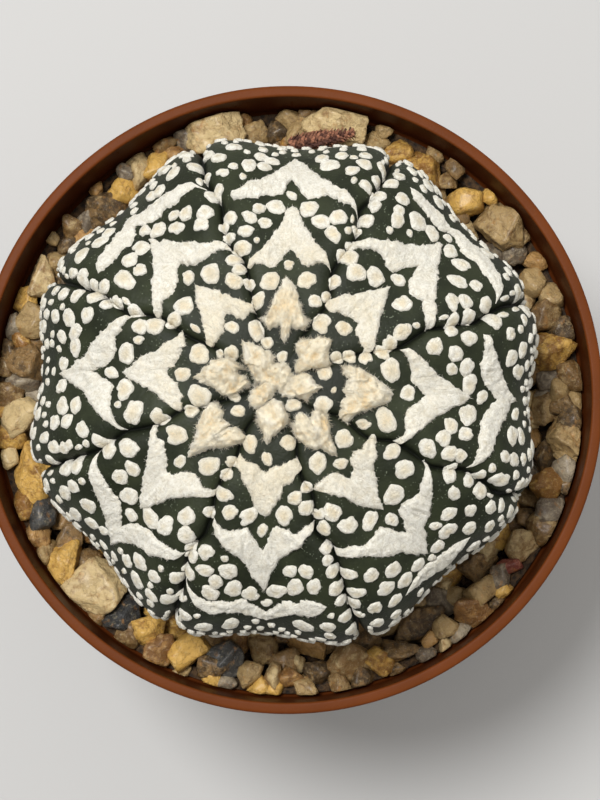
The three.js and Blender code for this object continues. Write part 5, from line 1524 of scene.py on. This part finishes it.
def fill_stones(draws, taken):
    """Stones of a middle size in rings, wherever there is room."""
    filled = len(SHOWN_STONES)
    for radius, count in FILL_RINGS:
        for i in range(count):
            angle = (i + FILL_STRAY_ALONG * draws()) * TAU / count
            out = radius + FILL_STRAY_OUT * (draws() - 0.5)
            size = FILL_SIZE + FILL_SIZE_MORE * draws()
            middle = around_axis(out, angle, 0)
            middle[2] = STONE_LAYER - FILL_DEPTH + STONE_LIFT * draws() + GRIT_SLOPE * middle[1]
            room = CHIP_ROOM * size
            if all(np.linalg.norm(other - middle) > reach + room for other, reach in taken):
                kind = FILL_KINDS[filled % len(FILL_KINDS)]
                filled += 1
                draws.skip(DRAWS_PER_STONE)
                yield on_ledge(middle, size), room, (size, FILL_WIDTH * size, FILL_HEIGHT * size, angle, kind)


def small_chips(draws, taken, tries):
    """Chips of a falling size, dropped wherever they still fit between the others."""
    for index in range(tries):
        angle = draws(0, TAU)
        size = draws(*LOOSE_SIZES) - LOOSE_SHRINK * index / tries
        out = min(draws(*LOOSE_RADII), LOOSE_WALL - LOOSE_WALL_SHARE * size)
        middle = around_axis(out, angle, 0)
        rise = LOOSE_RISE * smoothstep(out, *LOOSE_RISE_RADII)
        middle[2] = LOOSE_HEIGHT + rise + STONE_LIFT * draws() + GRIT_SLOPE * middle[1]
        room = CHIP_ROOM * size
        if all(np.linalg.norm((other - middle)[:2]) > LOOSE_OVERLAP * (reach + room)
               for other, reach in taken):
            kind = FILL_KINDS[int(draws(0, len(FILL_KINDS)))]
            width = draws(*LOOSE_WIDTHS) * size
            yield on_ledge(middle, size), room, (size, width, LOOSE_THICKNESS * size, draws(0, TAU), kind)


def plan_stones(tries):
    """Every stone of the dressing: middle, length, width, height, turn and kind."""
    draws = Draws(seed=25)
    taken = [(stone_middle(x, y, 0, LARGE_SIZE), LARGE_ROOM * long * LAYER_PIXEL)
             for x, y, long, *_ in LARGE_STONES.values()]
    planned = []
    for stones in (shown_stones(draws), fill_stones(draws, taken), small_chips(draws, taken, tries)):
        for middle, room, stone in stones:
            taken.append((middle, room))
            planned.append((middle, *stone))
    return planned


# Chips longer than this are made finer. The planes leave a chip smaller than its size, so it is made this
# much larger.
FINE_LENGTH = 4.9
CHIP_GROWTH = 1.16
LARGE_GROWTH = 1.14
CHIP_SEED = 1000
LARGE_SEED = 500
CHIP_SHADES = (-0.5, 0.8)
LARGE_SHADE = 0.45
LARGE_LIFT = 0.4
LARGE_HEIGHT = 0.9


def build_chips(stones, materials):
    """The stones of the dressing, all of one kind in one piece."""
    by_kind = {kind: Sheets() for kind in materials}
    draws = Draws(seed=91)
    for index, (middle, long, wide, high, turn, kind) in enumerate(plan_stones(stones.loose_chips)):
        detail = FINE_CHIP if long > FINE_LENGTH else PLAIN_CHIP
        size = (long * CHIP_GROWTH, wide * CHIP_GROWTH, high)
        points, faces = chip(middle, *size, turn, CHIP_SEED + index, detail)
        by_kind[kind].add(keep_clear(points), faces, draws(*CHIP_SHADES))
    for kind, sheets in by_kind.items():
        sheets.piece("stones_" + kind, materials[kind], "grit")


def build_large_stones(materials):
    """The eight largest stones, each a piece of its own."""
    for index, (name, (x, y, long, wide, turn, lift, kind)) in enumerate(LARGE_STONES.items()):
        long, wide = long * LAYER_PIXEL, wide * LAYER_PIXEL
        middle = stone_middle(x, y, lift + LARGE_LIFT, wide if lift > LIFTED else (long + wide) / 2)
        size = (LARGE_GROWTH * long, LARGE_GROWTH * wide, LARGE_HEIGHT * wide)
        points, faces = chip(middle, *size, math.radians(turn), LARGE_SEED + index, LARGE_CHIP, LARGE_FACETS)
        sheets = Sheets()
        sheets.add(keep_clear(points), faces, LARGE_SHADE)
        sheets.piece("fine_" + name, materials[kind], STONE_SLOTS.get(kind, "stone_cream"), [name])


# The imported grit: its radii and points around, its lumps as depth, size and seed, and the brim that lies on
# the pot's ledge.
BED_RADII = np.linspace(16, 42.6, 54)
BED_TURNS = np.linspace(0, TAU, 320, endpoint=False)
BED_DEPTH = 1.0
BED_LUMPS = ((0.7, 2.2, 40), (0.35, 0.9, 41))
BRIM_LUMPS = ((0.25, 1.1, 42),)
BRIM_START = (40.4, 41.7)
BRIM_BOTTOM = COLLAR_FOOT + 1.35


def build_bed():
    """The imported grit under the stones. Its hem runs down inside the pot and back under it."""
    flat = around_axis(BED_RADII[:, None], BED_TURNS, GRIT_TOP - BED_DEPTH)
    flat[..., 2] += GRIT_SLOPE * flat[..., 1] + layered(flat, BED_LUMPS)
    brim = smoothstep(BED_RADII, *BRIM_START)[:, None]
    flat[..., 2] += brim * (COLLAR_FOOT + LEDGE_LIFT + layered(flat, BRIM_LUMPS) - flat[..., 2])
    neck = inner_radius(COLLAR_FOOT, CLEARANCE)
    foot = MIX_TOP + CLEARANCE
    hem = [(BED_RADII[-1], BRIM_BOTTOM), (neck, BRIM_BOTTOM), (neck, COLLAR_FOOT),
           (inner_radius(foot, CLEARANCE), foot), (BED_RADII[0], foot)]
    under = np.stack([around_axis(radius, BED_TURNS, height) for radius, height in hem])
    rings = np.concatenate((under[-1:], flat, under))
    bed = Sheets()
    bed.add(rings, grid_faces(len(rings), len(BED_TURNS), closed=True))
    bed.piece("packed_grit", bed_material(), "grit", ["top_dressing"])


def build_stones(stones):
    """The top dressing by kind of stone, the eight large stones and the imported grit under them."""
    materials = {kind: stone_material(stones, kind) for kind in STONE_TONES}
    build_chips(stones, materials)
    build_large_stones(materials)
    build_bed()


# The dried flower: the pixels of its ends and its height, its plain core and the scales that cover it. Each
# form is given by where on its bulge it starts, how much of the bulge it takes and the power that makes it
# fuller.
FLOWER_START = (288, 145)
FLOWER_END = (354, 132)
FLOWER_HEIGHT = 75.9
FLOWER_THICKNESS = 1.15
FLOWER_FORM = (0.2, 0.66, 0.5)
FLOWER_SCALES = 300
CORE_WIDTH = 2.3
CORE_SEED = 77
CORE_SHADE = -0.6
SCALE_POINTS = 5
SCALE_LENGTHS = (0.60, 0.95)
SCALE_HALVES = (0.28, 0.40)
SCALE_OPENINGS = (0.45, 0.85)
SCALE_SHADES = (-0.6, 0.9)
SCALE_FORM = (0.2, 0.72, 0.7)
SCALE_BACK = 0.6
SCALE_SINK = 0.15
SCALE_ALONG = 0.8
SCALE_BEND = 1.3
SCALE_CURL = 0.55
UP = np.array((0, 0, 1))


def bulge(share, start, span, power):
    """How wide a form is along its length, thinner at both ends."""
    return np.sin(math.pi * (start + span * share)) ** power


def build_flower():
    """A bent stub of dry, overlapping scales."""
    draws = Draws(seed=5)
    sheets = Sheets()
    start, end = (at_height(pixel, FLOWER_HEIGHT) for pixel in (FLOWER_START, FLOWER_END))
    axis = unit(end - start)
    reach = np.linalg.norm(end - start)
    side = unit(np.cross(axis, UP))
    turn = math.atan2(axis[1], axis[0])
    sheets.add(*chip((start + end) / 2, reach, CORE_WIDTH, CORE_WIDTH, turn, CORE_SEED), CORE_SHADE)
    down = np.linspace(0, 1, SCALE_POINTS)[:, None]
    across = np.linspace(-1, 1, SCALE_POINTS)[None]
    for i in range(FLOWER_SCALES):
        share = (i + 0.5) / FLOWER_SCALES
        angle = i * GOLDEN_ANGLE
        out = math.cos(angle) * side + math.sin(angle) * UP
        aside = np.cross(axis, out)
        size = draws(*SCALE_LENGTHS)
        half = draws(*SCALE_HALVES)
        thick = FLOWER_THICKNESS * bulge(share, *FLOWER_FORM)
        root = start + axis * (share * (reach - SCALE_BACK * size)) + out * (thick - SCALE_SINK)
        opening = draws(*SCALE_OPENINGS)
        away = opening * down ** SCALE_BEND * size
        spine = root + axis * (down * size * SCALE_ALONG)[..., None] + out * away[..., None]
        breadth = half * bulge(down, *SCALE_FORM)
        curl = -SCALE_CURL * half * across ** 2
        points = spine + aside * (across * breadth)[..., None] + out * (curl + 0 * down)[..., None]
        sheets.add(points, grid_faces(SCALE_POINTS, SCALE_POINTS), draws(*SCALE_SHADES))
    sheets.piece("flower_scales", flower_material(), "dried_flower", ["dried_flower"])


# The pot: the points round it, how much its corners are rounded, the lip as it is seen from above and its
# drop, how far under the rim the painted shade on the inner wall starts, and the points round each drain hole
# and how far its cutter reaches out of the floor.
POT_TURNS = 240
POT_ROUNDING = 0.55
SEEN_LIP = 1.65
LIP_DROP = 1
INNER_SHADE_DEPTHS = (0.2, 0.7)
HOLE_POINTS = 32
CUTTER_REACH = 2


def rounded(corners, radius, steps=5):
    """A profile whose corners are rounded by a small radius."""
    corners = [np.array(corner, float) for corner in corners]
    outline = [corners[0]]
    for before, corner, after in zip(corners, corners[1:], corners[2:]):
        reach = min(radius, 0.4 * np.linalg.norm(before - corner), 0.4 * np.linalg.norm(after - corner))
        enter = corner + unit(before - corner) * reach
        leave = corner + unit(after - corner) * reach
        for share in (i / steps for i in range(steps + 1)):
            outline.append((1 - share) ** 2 * enter + 2 * share * (1 - share) * corner + share ** 2 * leave)
    outline.append(corners[-1])
    return outline


def drain_cutters():
    """Upright cylinders where the pot's floor has its holes."""
    cutters = Sheets()
    turns = np.linspace(0, TAU, HOLE_POINTS, endpoint=False)
    levels = (FLOOR_TOP + CUTTER_REACH, -CUTTER_REACH)
    for i in range(DRAIN_HOLES):
        middle = around_axis(DRAIN_CIRCLE, (i + 0.5) * TAU / DRAIN_HOLES, 0)
        rings = np.stack([middle + around_axis(DRAIN_RADIUS, turns, level) for level in levels])
        top = np.arange(HOLE_POINTS) + cutters.count
        cutters.add(rings, grid_faces(2, HOLE_POINTS, closed=True))
        cutters.faces.extend((top.tolist(), (top[::-1] + HOLE_POINTS).tolist()))
    return linked("drain_cutters", cutters.mesh("drain_cutters"))


def build_pot(pot):
    """The moulded pot, with drain holes cut through its floor."""
    lip = RIM_RADIUS - SEEN_LIP
    outline = np.array(rounded([
        (0.0, FLOOR_BOTTOM), (FOOT_RADIUS - FOOT_WIDTH - FOOT_FLARE, FLOOR_BOTTOM),
        (FOOT_RADIUS - FOOT_WIDTH, 0), (FOOT_RADIUS, 0), (FOOT_RADIUS + FOOT_FLARE, FOOT_HEIGHT),
        (WALL_TOP_RADIUS, COLLAR_FOOT), (RIM_RADIUS - COLLAR_TAPER, COLLAR_FOOT), (RIM_RADIUS, POT_HEIGHT),
        (lip, POT_HEIGHT), (lip, POT_HEIGHT - LIP_DROP), (lip - LIP_TAPER, LEDGE_TOP),
        (inner_radius(COLLAR_FOOT), COLLAR_FOOT), (inner_radius(FLOOR_TOP), FLOOR_TOP), (0.0, FLOOR_TOP),
    ], POT_ROUNDING))
    turns = np.linspace(0, TAU, POT_TURNS, endpoint=False)
    radius, height = outline[1:-1].T
    rings = around_axis(radius[:, None], turns, height[:, None])
    # Below the lip the inner wall gets painted shade.
    inside = (np.arange(len(height)) > height.argmax()) * smoothstep(POT_HEIGHT - height, *INNER_SHADE_DEPTHS)
    sheets = Sheets()
    sheets.add(rings, grid_faces(len(radius), POT_TURNS, closed=True)[:, ::-1], inside.repeat(POT_TURNS))
    ring = np.arange(POT_TURNS)
    sheets.faces.extend((ring[::-1].tolist(), (ring + sheets.count - POT_TURNS).tolist()))
    made = sheets.piece("moulded_pot", pot_material(pot), "pot", ["pot"])

    cutter = drain_cutters()
    cut = made.modifiers.new("drain_holes", "BOOLEAN")
    cut.operation = "DIFFERENCE"
    cut.object = cutter
    finished = bpy.data.meshes.new_from_object(made.evaluated_get(bpy.context.evaluated_depsgraph_get()))
    if len(finished.vertices) <= sheets.count:
        raise RuntimeError("The drain holes could not be cut")
    made.modifiers.clear()
    made.data = finished
    bpy.data.objects.remove(cutter)


def build_mix(pot):
    """The potting mix keeps its solid and gets a crumbly finish."""
    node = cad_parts["potting_mix"]
    node.data.materials.clear()
    node.data.materials.append(mix_material(pot))


# The stage: half of the floor's side, the lamp's place, the point that it faces and its size, in metres,
# and the colour of the surround and the direction in which it is brightest.
FLOOR_HALF = 1.6
LAMP_PLACE = Vector((-0.20, 0.18, 0.96))
LAMP_AIM = Vector((0, 0, 0.08))
LAMP_SIZE = 0.26
SKY_COLOUR = (1.0, 0.99, 0.97, 1)
SKY_DIRECTION = (0.20, 0.47, 0.86)
SKY_EDGE = -0.1
NEAREST_SEEN = 0.01


def build_floor(stage):
    """The plain pale floor."""
    corners = [(-FLOOR_HALF, -FLOOR_HALF, 0), (FLOOR_HALF, -FLOOR_HALF, 0),
               (FLOOR_HALF, FLOOR_HALF, 0), (-FLOOR_HALF, FLOOR_HALF, 0)]
    mesh = bpy.data.meshes.new("floor")
    mesh.from_pydata(corners, [], [(0, 1, 2, 3)])
    mesh.materials.append(floor_material(stage))
    linked("floor", mesh)


def build_lights(stage):
    """One large soft lamp from the upper left, and a surround that is brightest overhead."""
    lamp = bpy.data.lights.new("key_light", "AREA")
    lamp.shape = "DISK"
    lamp.size = LAMP_SIZE
    lamp.energy = stage.key_power
    light = linked("key_light", lamp)
    light.location = LAMP_PLACE
    light.rotation_euler = (LAMP_AIM - LAMP_PLACE).to_track_quat("-Z", "Y").to_euler()

    world = bpy.data.worlds.new("studio")
    sky = Tree(world, "Background")
    place = sky.node("ShaderNodeTexCoord", output="Generated")
    along = sky.node("ShaderNodeVectorMath", {"operation": "DOT_PRODUCT"}, {0: place, 1: SKY_DIRECTION},
                     output="Value")
    strength = sky.node("ShaderNodeMapRange", None, {
        "Value": along, "From Min": SKY_EDGE, "To Min": stage.wall_strength, "To Max": stage.sky_strength,
    })
    sky.give(sky.shader, {"Color": SKY_COLOUR, "Strength": strength})
    bpy.context.scene.world = world


def build_camera():
    """The photograph's camera."""
    lens = bpy.data.cameras.new("camera")
    lens.sensor_fit = "VERTICAL"
    lens.sensor_height = SENSOR_HEIGHT
    lens.lens = SENSOR_HEIGHT * FOCAL_PIXELS / FRAME_HEIGHT
    lens.clip_start = NEAREST_SEEN
    camera = linked("camera", lens)
    axes = Matrix((SIGHT_RIGHT, SIGHT_UP, -SIGHT)).transposed().to_4x4()
    camera.matrix_world = Matrix.Translation(Vector(EYE * MM)) @ axes
    bpy.context.scene.camera = camera


def build_stage(stage):
    """A plain pale floor, soft studio light and the photograph's camera."""
    bpy.context.scene.view_settings.view_transform = "Standard"
    build_floor(stage)
    build_lights(stage)
    build_camera()


class CACTUS_OT_skin(Operator):
    """Build the ribbed green skin"""

    bl_idname = "cactus.skin"
    bl_label = "Skin"

    def execute(self, context):
        build_skin(context.scene.cactus_plant)
        return {"FINISHED"}


class CACTUS_OT_felt(Operator):
    """Build the felt areoles, the flecks, the young wool and their hairs"""

    bl_idname = "cactus.felt"
    bl_label = "Felt and wool"

    def execute(self, context):
        build_felt(context.scene.cactus_plant)
        return {"FINISHED"}


class CACTUS_OT_stones(Operator):
    """Build the stones of the top dressing and the grit under them"""

    bl_idname = "cactus.stones"
    bl_label = "Stones"

    def execute(self, context):
        build_stones(context.scene.cactus_stones)
        return {"FINISHED"}


class CACTUS_OT_flower(Operator):
    """Build the dried flower that lies beside the plant"""

    bl_idname = "cactus.flower"
    bl_label = "Dried flower"

    def execute(self, context):
        build_flower()
        return {"FINISHED"}


class CACTUS_OT_pot(Operator):
    """Build the pot and finish the potting mix"""

    bl_idname = "cactus.pot"
    bl_label = "Pot and mix"

    def execute(self, context):
        build_pot(context.scene.cactus_pot)
        build_mix(context.scene.cactus_pot)
        return {"FINISHED"}


class CACTUS_OT_stage(Operator):
    """Build the floor, the lights and the camera"""

    bl_idname = "cactus.stage"
    bl_label = "Stage"

    def execute(self, context):
        build_stage(context.scene.cactus_stage)
        return {"FINISHED"}


OPERATORS = (
    CACTUS_OT_skin, CACTUS_OT_felt, CACTUS_OT_stones, CACTUS_OT_flower, CACTUS_OT_pot, CACTUS_OT_stage,
)


class CACTUS_PT_panel(Panel):
    """Lists the pieces that can be built"""

    bl_idname = "CACTUS_PT_panel"
    bl_label = "Potted Star Cactus"
    bl_space_type = "VIEW_3D"
    bl_region_type = "UI"
    bl_category = "Cactus"

    def draw(self, context):
        for operator in OPERATORS:
            self.layout.operator(operator.bl_idname)


SETTINGS = {
    "cactus_plant": PlantSettings, "cactus_stones": StoneSettings, "cactus_pot": PotSettings,
    "cactus_stage": StageSettings,
}


def register():
    for settings in SETTINGS.values():
        bpy.utils.register_class(settings)
    for name, settings in SETTINGS.items():
        setattr(bpy.types.Scene, name, PointerProperty(type=settings))
    for operator in OPERATORS:
        bpy.utils.register_class(operator)
    bpy.utils.register_class(CACTUS_PT_panel)


def unregister():
    bpy.utils.unregister_class(CACTUS_PT_panel)
    for operator in reversed(OPERATORS):
        bpy.utils.unregister_class(operator)
    for name, settings in SETTINGS.items():
        delattr(bpy.types.Scene, name)
        bpy.utils.unregister_class(settings)


def main():
    register()
    bpy.ops.cactus.stage()
    bpy.ops.cactus.pot()
    bpy.ops.cactus.skin()
    bpy.ops.cactus.felt()
    bpy.ops.cactus.stones()
    bpy.ops.cactus.flower()


if __name__ == "__main__":
    main()
